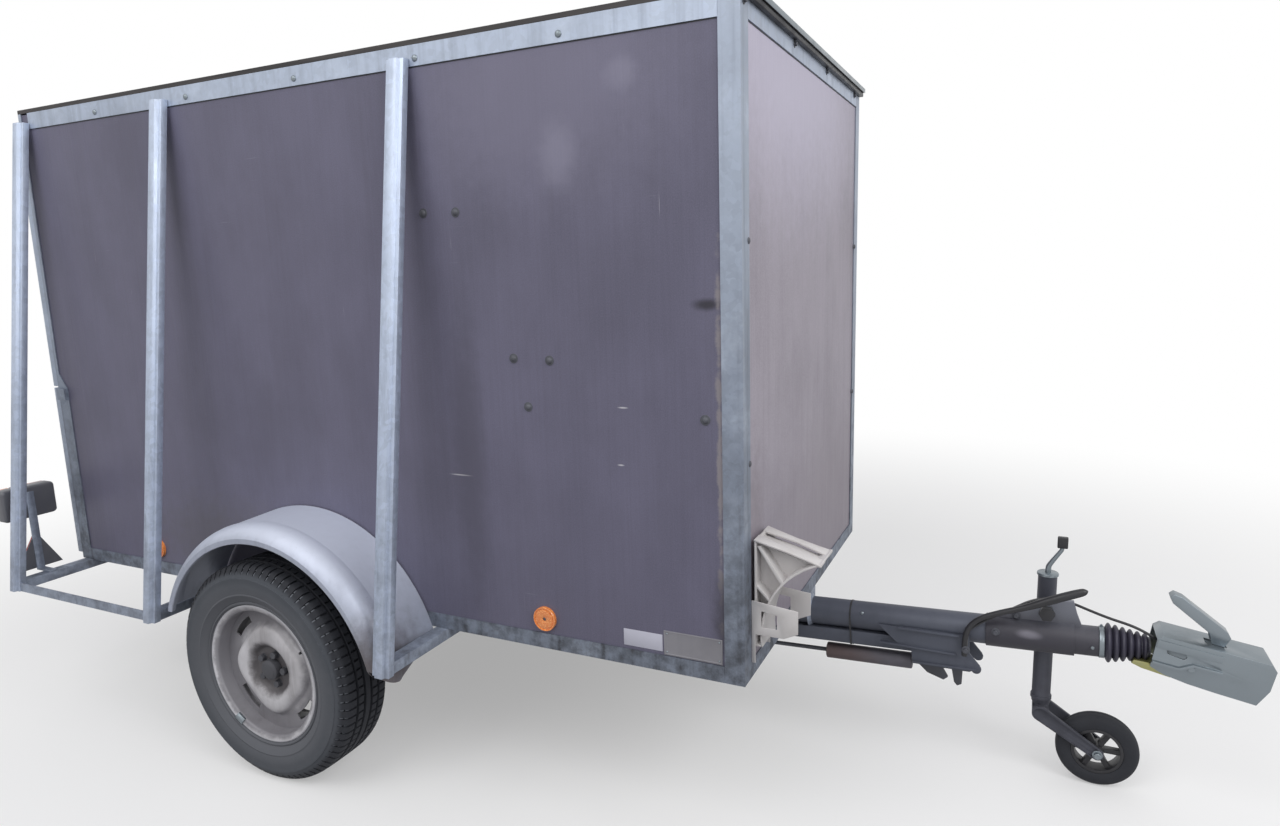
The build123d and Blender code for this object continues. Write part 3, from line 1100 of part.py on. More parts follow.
# ---------------------------------------------------------------- wheel chock and its holder
CHOCK_WIDTH = 115.0
CHOCK_SETBACK = 52.0         # right side wall to the near side of the chock
CHOCK_MID = -SIDE_Y + CHOCK_SETBACK + CHOCK_WIDTH / 2
CHOCK_PLANE = Plane.XZ.offset(-CHOCK_MID)
CHOCK_RECESS = 45.0
POCKET_DEPTH = 30.0
POCKETS = (((40, 317), (140, 289), (112, 274), (80, 250)),
           ((15, 322), (27, 318), (66, 250), (46, 204), (15, 234)),
           ((15, 224), (40, 192), (31, 140), (15, 148)))
with BuildPart() as wheel_chock:
    with BuildSketch(CHOCK_PLANE):
        with BuildLine():
            Polyline(from_wall((26, 80), (6, 80), (6, 345), (165, 300)))
            ThreePointArc(*from_wall((165, 300), (66, 230), (26, 80)))
        make_face()
    extrude(amount=CHOCK_WIDTH / 2, both=True)
    with BuildSketch(CHOCK_PLANE):
        with BuildLine():
            Polyline(from_wall((20, 350), (152, 312), (146, 294), (26, 326)), close=True)
        make_face()
    extrude(amount=CHOCK_RECESS / 2, both=True, mode=Mode.SUBTRACT)
    for side in (-1, 1):
        with BuildSketch(Plane.XZ.offset(-CHOCK_MID - side * (CHOCK_WIDTH / 2 - POCKET_DEPTH))):
            for pocket in POCKETS:
                with BuildLine():
                    Polyline(from_wall(*pocket), close=True)
                make_face()
        extrude(amount=-side * POCKET_DEPTH, mode=Mode.SUBTRACT)
wheel_chock.part.label = "wheel_chock"
export_step(wheel_chock.part, "parts/wheel_chock.step")

# Bracket on the front wall: two windowed arms on one back plate, each with a narrow leg.
HOLDER_STEEL = 2.0
ARM_OUTLINE = ((WELD_GAP, 196), (112, 184), (112, 128), (78, 112), (10, 112), (10, 40),
               (WELD_GAP, 40))
WINDOW = ((24, 172), (62, 168), (62, 132), (24, 132))
with BuildPart() as chock_holder:
    for side in (-1, 1):
        arm_y = CHOCK_MID + side * (CHOCK_WIDTH / 2 + FIT_GAP)
        with BuildSketch(Plane.XZ.offset(-arm_y)):
            with BuildLine():
                Polyline(from_wall(*ARM_OUTLINE), close=True)
            make_face()
            with BuildLine():
                Polyline(from_wall(*WINDOW), close=True)
            make_face(mode=Mode.SUBTRACT)
        extrude(amount=-side * HOLDER_STEEL)
    with BuildSketch(Plane.YZ.offset(FRONT_X + WELD_GAP)):
        with Locations((CHOCK_MID, DECK_Z + 150)):
            Rectangle(CHOCK_WIDTH + 2 * FIT_GAP, 80)
    extrude(amount=HOLDER_STEEL)
chock_holder.part.label = "chock_holder"
export_step(chock_holder.part, "parts/chock_holder.step")

# ---------------------------------------------------------------- drawbar cable
# Round cable from the lever's bracket over the housing and the bellows into the head.
CABLE_DIAMETER = 7.0
CABLE_ROUTE = ((436, 0, -48), (468, 29, -48), (515, 58, -42), (560, 80, -30), (602, 97, -4),
               (648, 99, 22), (699, 89, 27), (744, 77, 12), (788, 69, -8), (832, 62, -20),
               (866, 48, -23), (890, 31, -18))      # along the drawbar, up, left
CABLE_POINTS = [beside_bar(y).from_local_coords((x, up, 0)) for x, up, y in CABLE_ROUTE]
CABLE_BENDS = []
for before, corner, after in zip(CABLE_POINTS, CABLE_POINTS[1:], CABLE_POINTS[2:]):
    half_turn = radians((corner - before).get_angle(after - corner)) / 2
    CABLE_BENDS.append(0.45 * min((corner - before).length, (after - corner).length)
                       / tan(half_turn))
print("cable bend radii:", [round(bend) for bend in CABLE_BENDS])
with BuildPart() as drawbar_cable:
    with BuildLine() as cable_line:
        FilletPolyline(*CABLE_POINTS, radius=CABLE_BENDS)
    with BuildSketch(Plane(origin=cable_line.line @ 0, z_dir=cable_line.line % 0)):
        Circle(CABLE_DIAMETER / 2)
    sweep()
print("cable length:", round(cable_line.wire().length))
drawbar_cable.part.label = "drawbar_cable"
export_step(drawbar_cable.part, "parts/drawbar_cable.step")
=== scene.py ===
"""Looks of a single-axle box trailer: finishes, tread, fasteners, cable, stage and camera.

Places are in metres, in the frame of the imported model: +X towards the coupling, +Y to the
left, +Z up, floor at Z = 0. Sections of turned pieces and sizes of bolts are in millimetres.
"""
import json
from math import atan2, cos, hypot, pi, radians, sin, sqrt

import bmesh
import bpy
from mathutils import Matrix, Vector


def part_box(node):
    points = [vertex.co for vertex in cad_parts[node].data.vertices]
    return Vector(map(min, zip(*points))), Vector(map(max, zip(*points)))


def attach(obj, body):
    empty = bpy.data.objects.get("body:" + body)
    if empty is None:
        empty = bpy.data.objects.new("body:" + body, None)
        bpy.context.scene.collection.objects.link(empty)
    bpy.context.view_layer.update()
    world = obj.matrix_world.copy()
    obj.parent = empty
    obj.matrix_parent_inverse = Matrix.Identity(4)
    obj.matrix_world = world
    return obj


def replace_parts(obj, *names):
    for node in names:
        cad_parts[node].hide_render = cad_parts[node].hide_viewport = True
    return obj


bl_info = {
    "name": "Box Trailer Looks",
    "version": (1, 0, 0),
    "blender": (4, 5, 0),
    "location": "View3D > Sidebar > Trailer",
    "description": "Finishes and small pieces of a single-axle box trailer",
    "category": "Object",
}

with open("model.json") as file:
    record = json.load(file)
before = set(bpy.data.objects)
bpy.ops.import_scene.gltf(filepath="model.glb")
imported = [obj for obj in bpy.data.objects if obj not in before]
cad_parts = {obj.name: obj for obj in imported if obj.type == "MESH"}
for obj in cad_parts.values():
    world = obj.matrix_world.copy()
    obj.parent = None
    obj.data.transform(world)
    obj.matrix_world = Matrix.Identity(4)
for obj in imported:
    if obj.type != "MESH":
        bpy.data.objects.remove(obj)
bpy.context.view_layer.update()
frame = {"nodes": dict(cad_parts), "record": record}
NODES = frame["nodes"]
MM = 0.001
TOUCHING = 0.00002           # points nearer than this are one point
SHARP = radians(32)          # only edges sharper than this are rounded over


def srgb(*levels):
    """A display colour, 0 to 255 a channel, as the linear colour that a shader takes."""
    shares = [level / 255 for level in levels]
    return (*(share / 12.92 if share <= 0.04045 else ((share + 0.055) / 1.055) ** 2.4
              for share in shares), 1.0)


# ------------------------------------------------------------------ places
def middle_of(node):
    return sum(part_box(node), Vector()) / 2


RAILS_LOW, RAILS_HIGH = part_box("bottom_rails")
FRONT_X, SIDE_Y = RAILS_HIGH.x, RAILS_HIGH.y
REAR_X, DECK_Z = RAILS_LOW.x, RAILS_LOW.z
ROOF_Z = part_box("top_rails")[1].z
FRONT_WALL_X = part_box("front_panel")[1].x
WALL_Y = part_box("side_panel_right")[0].y
WALL_EDGE_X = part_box("side_panel_right")[1].x - 0.055    # where the corner post covers it
WHEELS = {hand: middle_of("tyre_" + hand) for hand in ("right", "left")}
RISE = radians(2.2)          # the drawbar climbs towards the coupling
BAR = Matrix(((cos(RISE), 0, -sin(RISE), FRONT_X), (0, 1, 0, 0),
              (sin(RISE), 0, cos(RISE), DECK_Z - 0.0545), (0, 0, 0, 1)))
HEAD_TILT = radians(9)       # and the coupling head sags on its shaft
HEAD = Matrix.Translation(BAR @ Vector((0.875, 0, 0))) @ Matrix.Rotation(HEAD_TILT, 4, "Y")


# ------------------------------------------------------------------ settings
def colour(name, description, default):
    return bpy.props.FloatVectorProperty(name=name, description=description, size=4, min=0, max=1,
                                         subtype="COLOR", default=default)


def number(name, description, default, **unit):
    return bpy.props.FloatProperty(name=name, description=description, default=default, **unit)


class TrailerStage(bpy.types.PropertyGroup):
    camera_place: bpy.props.FloatVectorProperty(
        name="Camera place", description="Where the camera stands", size=3,
        subtype="TRANSLATION", unit="LENGTH", default=(1.307, -2.355, 1.443))
    heading: number("Heading", "Camera's direction about Z, from +X", radians(115.59),
                    subtype="ANGLE")
    pitch: number("Pitch", "Camera's tilt above the horizon", radians(-9.84), subtype="ANGLE")
    roll: number("Roll", "Camera's turn about its own axis", radians(-1.64), subtype="ANGLE")
    lens: number("Lens", "Focal length on a 36 mm sensor, in millimetres", 23.42)
    floor_colour: colour("Floor", "Colour of the floor", (0.82, 0.82, 0.83, 1))
    sky_strength: number("Sky", "Strength of the even light from all round", 0.6)
    key_power: number("Key lamp", "Power of the large lamp ahead of the box", 130, unit="POWER")
    fill_power: number("Fill lamp", "Power of the large lamp beside the box", 150, unit="POWER")


class TrailerFinish(bpy.types.PropertyGroup):
    # The side and front walls are one film: the side colour is darker as painted shade, the front
    # colour lighter as painted light.
    wall: colour("Side walls", "Film of the side plywood", srgb(105, 103, 123))
    front: colour("Front wall", "Film of the front plywood", srgb(154, 147, 159))
    zinc: colour("Galvanised steel", "Frame, posts and outriggers", srgb(160, 170, 188))
    # The round side posts: the galvanised zinc made lighter, as painted highlight.
    posts: colour("Posts", "Zinc of the round side posts", srgb(181, 192, 212))
    # Corner posts and lower rails: the galvanised zinc made darker, as painted shade.
    rails: colour("Zinc with painted shade", "Corner posts and lower rails", srgb(138, 147, 163))
    fender: colour("Fenders", "Weathered sheet of the fenders", srgb(172, 178, 194))
    drawbar: colour("Drawbar", "Paint of the drawbar", srgb(84, 88, 100))
    rubber: colour("Tyres", "Rubber of the road tyres", srgb(69, 73, 80))
    rim: colour("Rims", "Paint of the wheels", srgb(218, 217, 222))


# ------------------------------------------------------------------ shader helpers
GROUPS = {}
GREY = (0.5, 0.5, 0.5, 1)


class Tree:
    """Adds nodes to one shader tree and joins their sockets."""

    def __init__(self, tree):
        self.tree = tree

    def put(self, socket, value):
        if isinstance(value, bpy.types.NodeSocket):
            self.tree.links.new(value, socket)
        else:
            socket.default_value = value

    def add(self, kind, inputs=(), **settings):
        node = self.tree.nodes.new("ShaderNode" + kind)
        for name, value in settings.items():
            setattr(node, name, value)
        for name, value in dict(inputs).items():
            self.put(node.inputs[name], value)
        return node

    def math(self, operation, *values, clamp=False):
        return self.add("Math", enumerate(values), operation=operation,
                        use_clamp=clamp).outputs[0]

    def times(self, first, *others):
        for value in others:
            first = self.math("MULTIPLY", first, value)
        return first

    def scaled(self, value, factor, plus, clamp=False):
        return self.math("MULTIPLY_ADD", value, factor, plus, clamp=clamp)

    def vector(self, operation, *values):
        node = self.add("VectorMath", enumerate(values), operation=operation)
        return node.outputs[1 if operation == "LENGTH" else 0]

    def parts(self, vector):
        return self.add("SeparateXYZ", {0: vector}).outputs

    def mix(self, factor, first, second, blend="MIX"):
        return self.add("Mix", {0: factor, 6: first, 7: second}, data_type="RGBA",
                        blend_type=blend, clamp_factor=True).outputs[2]

    def shaded(self, color, tone):
        """A colour made lighter or darker by a number."""
        grey = self.add("CombineColor", {0: tone, 1: tone, 2: tone}).outputs[0]
        return self.mix(1.0, color, grey, "MULTIPLY")

    def remap(self, value, low, high, to_low=0.0, to_high=1.0):
        return self.add("MapRange", enumerate((value, low, high, to_low, to_high)), clamp=True,
                        interpolation_type="SMOOTHSTEP").outputs[0]

    def noise(self, vector, scale, detail=3.0, rough=0.5):
        return self.add("TexNoise", {"Vector": vector, "Scale": scale, "Detail": detail,
                                     "Roughness": rough}).outputs[0]

    def seen_rays(self):
        """1 for the rays that show the background: camera, glossy and transmission rays."""
        path = self.add("LightPath").outputs
        return self.math("MAXIMUM", path["Is Camera Ray"], self.math(
            "MAXIMUM", path["Is Glossy Ray"], path["Is Transmission Ray"]))


class Finish(Tree):
    """The tree of one material, with its shader and its Object coordinates."""

    def __init__(self, name, roughness, metallic=0.0, **shader):
        self.material = bpy.data.materials.new(name)
        self.material.use_nodes = True
        super().__init__(self.material.node_tree)
        self.surface = self.tree.nodes["Principled BSDF"].inputs
        for label, value in {"Roughness": roughness, "Metallic": metallic, **shader}.items():
            self.surface[label.replace("_", " ")].default_value = value
        self.place = self.add("TexCoord").outputs["Object"]

    def marks(self, scale, detail, rough, low, high):
        """Noise about the place, sharpened between two levels."""
        return self.remap(self.noise(self.place, scale, detail, rough), low, high)

    def stretched(self, *scale):
        return self.vector("MULTIPLY", self.place, scale)

    def group(self, name, **inputs):
        """A shared group at the place; an underscore in a label stands for a space."""
        named = {label.replace("_", " "): value for label, value in inputs.items()}
        return self.add("Group", {"Position": self.place, **named},
                        node_tree=GROUPS[name]).outputs

    def weather(self, color, grime, clouds, streaks, splash, top):
        return self.group("Weather", Color=color, Grime=grime, Clouds=clouds, Streaks=streaks,
                          Splash=splash, Splash_Top=top)

    def scratched(self, color, along, cover, share, tint):
        mask = self.group("Scratches", Along=along, Cover=cover)["Mask"]
        return self.mix(self.times(mask, share), color, tint)

    def stained(self, color, centre, reach, tint, share, ragged):
        """A colour with one soft spot of another about a centre."""
        mask = self.group("Spot", Centre=centre, Reach=reach, Break_Up=ragged)["Mask"]
        return self.mix(self.times(mask, share), color, tint)

    def about(self, axle):
        """The place as seen from an axle along Y, and its distance from that axle."""
        flat = self.vector("SUBTRACT", self.place, (axle.x, 0, axle.z))
        return flat, self.vector("LENGTH", self.vector("MULTIPLY", flat, (1, 0, 1)))

    def done(self, color, roughness, height, strength, depth):
        """Give the shader its colour, roughness and bump."""
        self.put(self.surface["Base Color"], color)
        self.put(self.surface["Roughness"], roughness)
        bump = self.add("Bump", {"Height": height, "Strength": strength, "Distance": depth})
        self.put(self.surface["Normal"], bump.outputs[0])
        return self.material


def new_group(name, inputs, outputs):
    """A shared group; an input is a vector where it has no default, a colour for a tuple."""
    tree = bpy.data.node_groups.new(name, "ShaderNodeTree")
    for label, default in inputs.items():
        kind = "Vector" if default is None else "Color" if default is GREY else "Float"
        socket = tree.interface.new_socket(label, in_out="INPUT", socket_type="NodeSocket" + kind)
        if default is not None:
            socket.default_value = default
    for label in outputs:
        kind = "Color" if label == "Color" else "Float"
        tree.interface.new_socket(label, in_out="OUTPUT", socket_type="NodeSocket" + kind)
    GROUPS[name] = tree
    given = tree.nodes.new("NodeGroupInput").outputs
    return Tree(tree), given, tree.nodes.new("NodeGroupOutput").inputs


def weather_group():
    """Clouds, rain streaks that run down, and grime that gathers near the ground."""
    t, given, out = new_group("Weather", {
        "Position": None, "Color": GREY, "Grime": GREY, "Clouds": 0.3, "Streaks": 0.3,
        "Splash": 0.5, "Splash Top": 0.6}, ("Color", "Dirt"))
    place = given["Position"]
    clouds = t.remap(t.noise(place, 2.3, 5, 0.62), 0.4, 0.72)
    run = t.vector("MULTIPLY", place, (38, 38, 1.1))
    streaks = t.remap(t.noise(run, 1.0, 4, 0.6), 0.46, 0.8)
    low = t.remap(t.parts(place)[2], given["Splash Top"], 0.0)
    speckle = t.remap(t.noise(place, 21, 5, 0.7), 0.35, 0.7)
    splash = t.times(low, t.scaled(speckle, 0.7, 0.3))
    dirt = t.scaled(streaks, given["Streaks"], t.times(clouds, given["Clouds"]))
    dirt = t.scaled(splash, given["Splash"], dirt, clamp=True)
    t.put(out["Color"], t.mix(dirt, given["Color"], given["Grime"]))
    t.put(out["Dirt"], dirt)


def spangle_group():
    """The frozen crystals of hot-dip zinc: flat patches, each a little lighter or darker."""
    t, given, out = new_group("Spangle", {
        "Position": None, "Color": GREY, "Scale": 60.0, "Contrast": 0.2}, ("Color", "Cell"))
    bend = t.add("TexNoise", {"Vector": given["Position"], "Scale": 22.0}).outputs[1]
    place = t.vector("ADD", given["Position"], t.vector("MULTIPLY", bend, (0.05, 0.05, 0.05)))
    cells = t.add("TexVoronoi", {"Vector": place, "Scale": given["Scale"]}).outputs[1]
    cell = t.add("SeparateColor", {0: cells}).outputs[0]
    tone = t.scaled(t.math("SUBTRACT", cell, 0.5), given["Contrast"], 1.0)
    t.put(out["Color"], t.shaded(given["Color"], tone))
    t.put(out["Cell"], cell)


def spot_group():
    """A soft-edged ellipsoid about a place, broken up by noise: stains, scuffs, faded spots."""
    t, given, out = new_group("Spot", {
        "Position": None, "Centre": None, "Reach": None, "Break Up": 0.5}, ("Mask",))
    away = t.vector("SUBTRACT", given["Position"], given["Centre"])
    far = t.vector("LENGTH", t.vector("DIVIDE", away, given["Reach"]))
    rough = t.math("SUBTRACT", t.noise(given["Position"], 30, 4, 0.6), 0.5)
    t.put(out["Mask"], t.remap(t.scaled(rough, given["Break Up"], far), 1.0, 0.2))


def scratch_group():
    """Thin short lines along one direction, few and pale, as things scraped past."""
    t, given, out = new_group("Scratches", {"Position": None, "Along": None, "Cover": 0.1},
                              ("Mask",))
    run = t.vector("MULTIPLY", given["Position"], given["Along"])
    sharp = t.remap(t.noise(run, 1.0, 2, 0.5), 0.7, 0.74)
    cover = t.math("SUBTRACT", 0.75, given["Cover"])
    t.put(out["Mask"], t.times(sharp, t.remap(t.noise(given["Position"], 5.5, 2, 0.5), cover,
                                              0.8)))


# ------------------------------------------------------------------ finishes
def zinc_finish(name, base, contrast, rough, grime, splash):
    """Hot-dip zinc gone dull: spangle, white bloom, painted highlight that makes it paler higher
    up, and grime low down.
    """
    t = Finish(name, rough, metallic=0.55)
    spangle = t.group("Spangle", Color=base, Scale=75.0, Contrast=contrast)
    bloom = t.remap(t.noise(t.place, 7, 5, 0.65), 0.48, 0.78, 0, 0.35)
    # Painted highlight: paler higher up, joined with the white bloom into one pale colour.
    high = t.remap(t.parts(t.place)[2], 0.9, 1.9, 0, 0.3)
    pale = t.mix(t.math("ADD", bloom, high, clamp=True), spangle["Color"], srgb(204, 214, 230))
    weather = t.weather(pale, grime, 0.22, 0.3, splash, 1.5)
    rough = t.scaled(weather["Dirt"], 0.3, t.scaled(spangle["Cell"], 0.12, rough))
    return t.done(weather["Color"], rough, t.noise(t.place, 160, 3, 0.6), 0.25, 0.0008)


def film_finish(name, base, spots, streak):
    """Phenolic film on plywood: fine mesh print, grain that shows through, faded by weather."""
    t = Finish(name, 0.5, Specular_IOR_Level=0.35)
    grain = t.remap(t.noise(t.stretched(150, 150, 2.2), 1.0, 4, 0.6), 0.3, 0.75)
    mesh = t.noise(t.stretched(420, 420, 300), 1.0, 1, 0.5)
    blotch = t.noise(t.stretched(5, 5, 2.4), 1.0, 5, 0.6)
    tone = t.scaled(grain, 0.07, 0.89)
    tone = t.scaled(t.math("SUBTRACT", mesh, 0.5), 0.45, tone)
    tone = t.scaled(t.remap(blotch, 0.3, 0.7), 0.17, tone)
    weather = t.weather(t.shaded(base, tone), srgb(72, 70, 78), 0.16, streak, 0.24, 0.85)
    worn = weather["Color"]
    for along, cover in (((6, 6, 260), 0.12), ((220, 220, 7), 0.1)):
        worn = t.scratched(worn, along, cover, 0.55, srgb(190, 188, 196))
    # The spots are stains, faded patches and scrapes, and on the front wall also painted light and
    # shade.
    for spot in spots:
        worn = t.stained(worn, *spot)
    rough = t.scaled(weather["Dirt"], 0.25, t.scaled(grain, 0.12, 0.42))
    return t.done(worn, rough, t.scaled(mesh, 0.6, grain), 0.3, 0.0009)


def wood_finish(name, base, dark):
    """Bare or stained plywood: long grain along X, darker seams and old water marks."""
    t = Finish(name, 0.65)
    grain = t.noise(t.stretched(2.5, 60, 60), 1.0, 5, 0.62)
    wood = t.mix(t.remap(grain, 0.35, 0.7), base, dark)
    wood = t.mix(t.times(t.marks(3.2, 5, 0.6, 0.45, 0.7), 0.4), wood, dark)
    return t.done(wood, t.scaled(grain, 0.2, 0.55), grain, 0.4, 0.001)


def fender_finish(name, base):
    """Dull pressed sheet, lilac-grey, with painted light that makes it paler on top, and a brown
    stain at the front tip.
    """
    t = Finish(name, 0.5, metallic=0.35)
    spangle = t.group("Spangle", Color=base, Scale=45.0, Contrast=0.07)
    weather = t.weather(spangle["Color"], srgb(112, 116, 130), 0.4, 0.25, 0.3, 0.62)
    # Painted light: where the sheet faces up it is mixed towards a pale colour.
    upward = t.parts(t.add("NewGeometry").outputs["Normal"])[2]
    worn = t.mix(t.remap(upward, 0.3, 1.0, 0, 0.7), weather["Color"], srgb(226, 232, 248))
    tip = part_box("fender_right")[1].x
    worn = t.stained(worn, (tip - 0.03, -0.85, 0.40), (0.2, 0.25, 0.23), srgb(74, 62, 58), 0.85,
                     0.5)
    worn = t.scratched(worn, (30, 30, 160), 0.2, 0.5, srgb(120, 122, 134))
    return t.done(worn, t.scaled(weather["Dirt"], 0.25, 0.42), t.noise(t.place, 60, 3, 0.5),
                  0.2, 0.0008)


def steel_finish(name, base, grime, rust, patches=()):
    """Old paint on steel: dusty clouds, road dirt, rust where it has chipped, a worn patch."""
    t = Finish(name, 0.5, metallic=0.25)
    weather = t.weather(base, grime, 0.4, 0.15, 0.5, 0.5)
    chip = t.times(t.marks(55, 6, 0.7, 0.66, 0.7), t.marks(6, 3, 0.5, 0.5, 0.66), rust)
    paint = weather["Color"]
    for centre, reach, tint in patches:
        paint = t.stained(paint, centre, reach, tint, 0.85, 0.25)
    return t.done(t.mix(chip, paint, srgb(98, 70, 56)), t.scaled(weather["Dirt"], 0.3, 0.5),
                  t.math("ADD", t.noise(t.place, 120, 4, 0.6), chip), 0.3, 0.0008)


def rubber_finish(name, base, dust, rough=0.75):
    """Weathered rubber: grey bloom, specks of dust and fine cracks."""
    t = Finish(name, rough)
    speck = t.marks(90, 4, 0.7, 0.5, 0.8)
    shade = t.mix(t.times(t.marks(6, 5, 0.6, 0.35, 0.75), 0.5), base, dust)
    return t.done(t.mix(t.times(speck, 0.3), shade, dust), t.scaled(speck, 0.15, rough),
                  t.noise(t.place, 240, 3, 0.6), 0.35, 0.0006)


def tyre_finish(name, base, dust, axle):
    """Road tyre: paler towards the bead, painted shade that darkens the tread, and dust in the
    slits of the shoulder.
    """
    t = Finish(name, 0.8)
    flat, radius = t.about(axle)
    along, across, up = t.parts(flat)
    turn = t.times(t.math("ARCTAN2", along, up), float(TYRE_PITCHES))
    shift = t.times(t.math("SIGN", across), SLIT_PHASE)
    slit = t.remap(t.math("COSINE", t.math("SUBTRACT", turn, shift)), 0.84, 0.97)
    out = t.math("SUBTRACT", t.math("ABSOLUTE", across), abs(axle.y))
    shoulder = t.times(t.remap(radius, 0.300, 0.306), t.remap(out, 0.062, 0.072))
    shade = t.mix(t.remap(radius, 0.30, 0.215), base, dust)
    shade = t.mix(t.times(t.marks(6, 5, 0.6, 0.35, 0.75), 0.45), shade, dust)
    shade = t.mix(t.times(t.marks(90, 4, 0.7, 0.5, 0.8), 0.25), shade, dust)
    # Painted shade: the tread beyond the shoulder is made almost black.
    shade = t.mix(t.remap(radius, 0.296, 0.312, 0, 0.95), shade, srgb(33, 35, 42))
    shade = t.mix(t.times(slit, shoulder, 0.75), shade, srgb(126, 130, 138))
    return t.done(shade, 0.8, t.noise(t.place, 240, 3, 0.6), 0.35, 0.0006)


def wheel_finish(name, base, axle):
    """Off-white wheel paint: dark brownish grey in the hub recess, painted shade in the barrel, a
    pale edge.
    """
    t = Finish(name, 0.5, metallic=0.15)
    plain = t.about(axle)[1]
    spoke = t.scaled(t.math("SUBTRACT", t.noise(t.place, 26, 5, 0.65), 0.5), 0.03, plain)
    # The barrel is darkened as painted shade.
    barrel = t.times(t.remap(spoke, 0.12, 0.146), t.remap(spoke, 0.205, 0.19))
    weather = t.weather(base, srgb(104, 98, 98), 0.5, 0.2, 0.3, 0.35)
    dust_and_painted_shade = t.mix(t.times(barrel, 0.72), weather["Color"], srgb(98, 96, 103))
    dust_and_painted_shade = t.mix(t.remap(plain, 0.1995, 0.2035, 0, 0.75), dust_and_painted_shade, srgb(176, 176, 182))
    # The hub recess is made dark brownish grey.
    dust_and_painted_shade = t.mix(t.times(t.remap(spoke, 0.092, 0.070), 0.85), dust_and_painted_shade, srgb(54, 49, 52))
    return t.done(dust_and_painted_shade, t.scaled(weather["Dirt"], 0.3, 0.42), t.noise(t.place, 110, 4, 0.65),
                  0.25, 0.0007)


def bright_zinc_finish(name, base, smeared):
    """New zinc plate: bright, faintly blue-green, smeared and lightly scratched."""
    t = Finish(name, 0.3, metallic=0.8)
    smear = t.marks(14, 5, 0.6, 0.4, 0.75)
    shade = t.mix(t.times(smear, 0.4), base, smeared)
    shade = t.scratched(shade, (40, 90, 380), 0.3, 0.4, srgb(112, 120, 124))
    return t.done(shade, t.scaled(smear, 0.2, 0.3), t.noise(t.place, 90, 3, 0.5), 0.12, 0.0006)


def plastic_finish(name, base, dirt, rough=0.4):
    """Moulded plastic with a fine skin and dust in its hollows."""
    t = Finish(name, rough)
    cloud = t.marks(12, 5, 0.6, 0.42, 0.75)
    return t.done(t.mix(t.times(cloud, 0.35), base, dirt), t.scaled(cloud, 0.25, rough),
                  t.noise(t.place, 300, 2, 0.5), 0.2, 0.0003)


def lens_finish(name, base, deep, ribs):
    """Lamp or reflector plastic: prisms that break up the colour under a clear coat."""
    t = Finish(name, 0.22, Coat_Weight=0.6)
    prism = t.add("TexVoronoi", {"Vector": t.place, "Scale": ribs}).outputs[0]
    return t.done(t.mix(t.remap(prism, 0.1, 0.6), base, deep),
                  t.scaled(t.noise(t.place, 40), 0.2, 0.15), prism, 0.3, 0.0008)


# Faded patches, stains and scrapes, and on the front wall painted light and shade: place and reach
# along and up the wall, colour, share, ragged.
SIDE_SPOTS = (
    (WALL_EDGE_X - 0.45, 1.86, 0.5, 0.34, (132, 129, 150), 0.55, 0.35),
    (WALL_EDGE_X - 0.39, 1.71, 0.075, 0.11, (148, 146, 166), 0.45, 0.3),
    (WALL_EDGE_X - 0.22, 1.87, 0.06, 0.05, (148, 146, 166), 0.4, 0.5),
    (WALL_EDGE_X - 0.026, 1.36, 0.046, 0.018, (40, 38, 44), 0.85, 0.5),
    (WALL_EDGE_X + 0.002, 1.02, 0.010, 0.52, (150, 144, 146), 0.75, 2.4),
    (WALL_EDGE_X + 0.01, 0.62, 0.04, 0.16, (56, 54, 62), 0.7, 0.8),
    (WALL_EDGE_X - 0.725, 0.917, 0.045, 0.0028, (222, 220, 224), 0.9, 0.25),
    (WALL_EDGE_X - 0.24, 1.12, 0.018, 0.0028, (208, 206, 212), 0.9, 0.25),
    (WALL_EDGE_X - 0.25, 0.98, 0.012, 0.0028, (208, 206, 212), 0.9, 0.25),
    (-0.97, 0.62, 0.5, 0.2, (94, 92, 96), 0.5, 0.7),
    (-0.02, 1.0, 0.07, 0.55, (82, 80, 94), 0.55, 0.5))
# The first two front spots are painted light and shade: a pale spot over the top of the wall is
# painted highlight, a darker one low down painted shade. The third is a narrow darker streak.
FRONT_SPOTS = (
    (-0.2, 2.0, 1.2, 0.62, (202, 197, 217), 0.85, 0.25),
    (0.3, 0.62, 1.1, 0.5, (138, 130, 140), 0.7, 0.4),
    (-0.54, 0.75, 0.1, 0.4, (120, 112, 120), 0.6, 0.9))
TYRE_PITCHES = 80            # blocks of tread round a road tyre
SLIT_PHASE = pi / 4          # the slit of each block lies an eighth of a pitch before its end

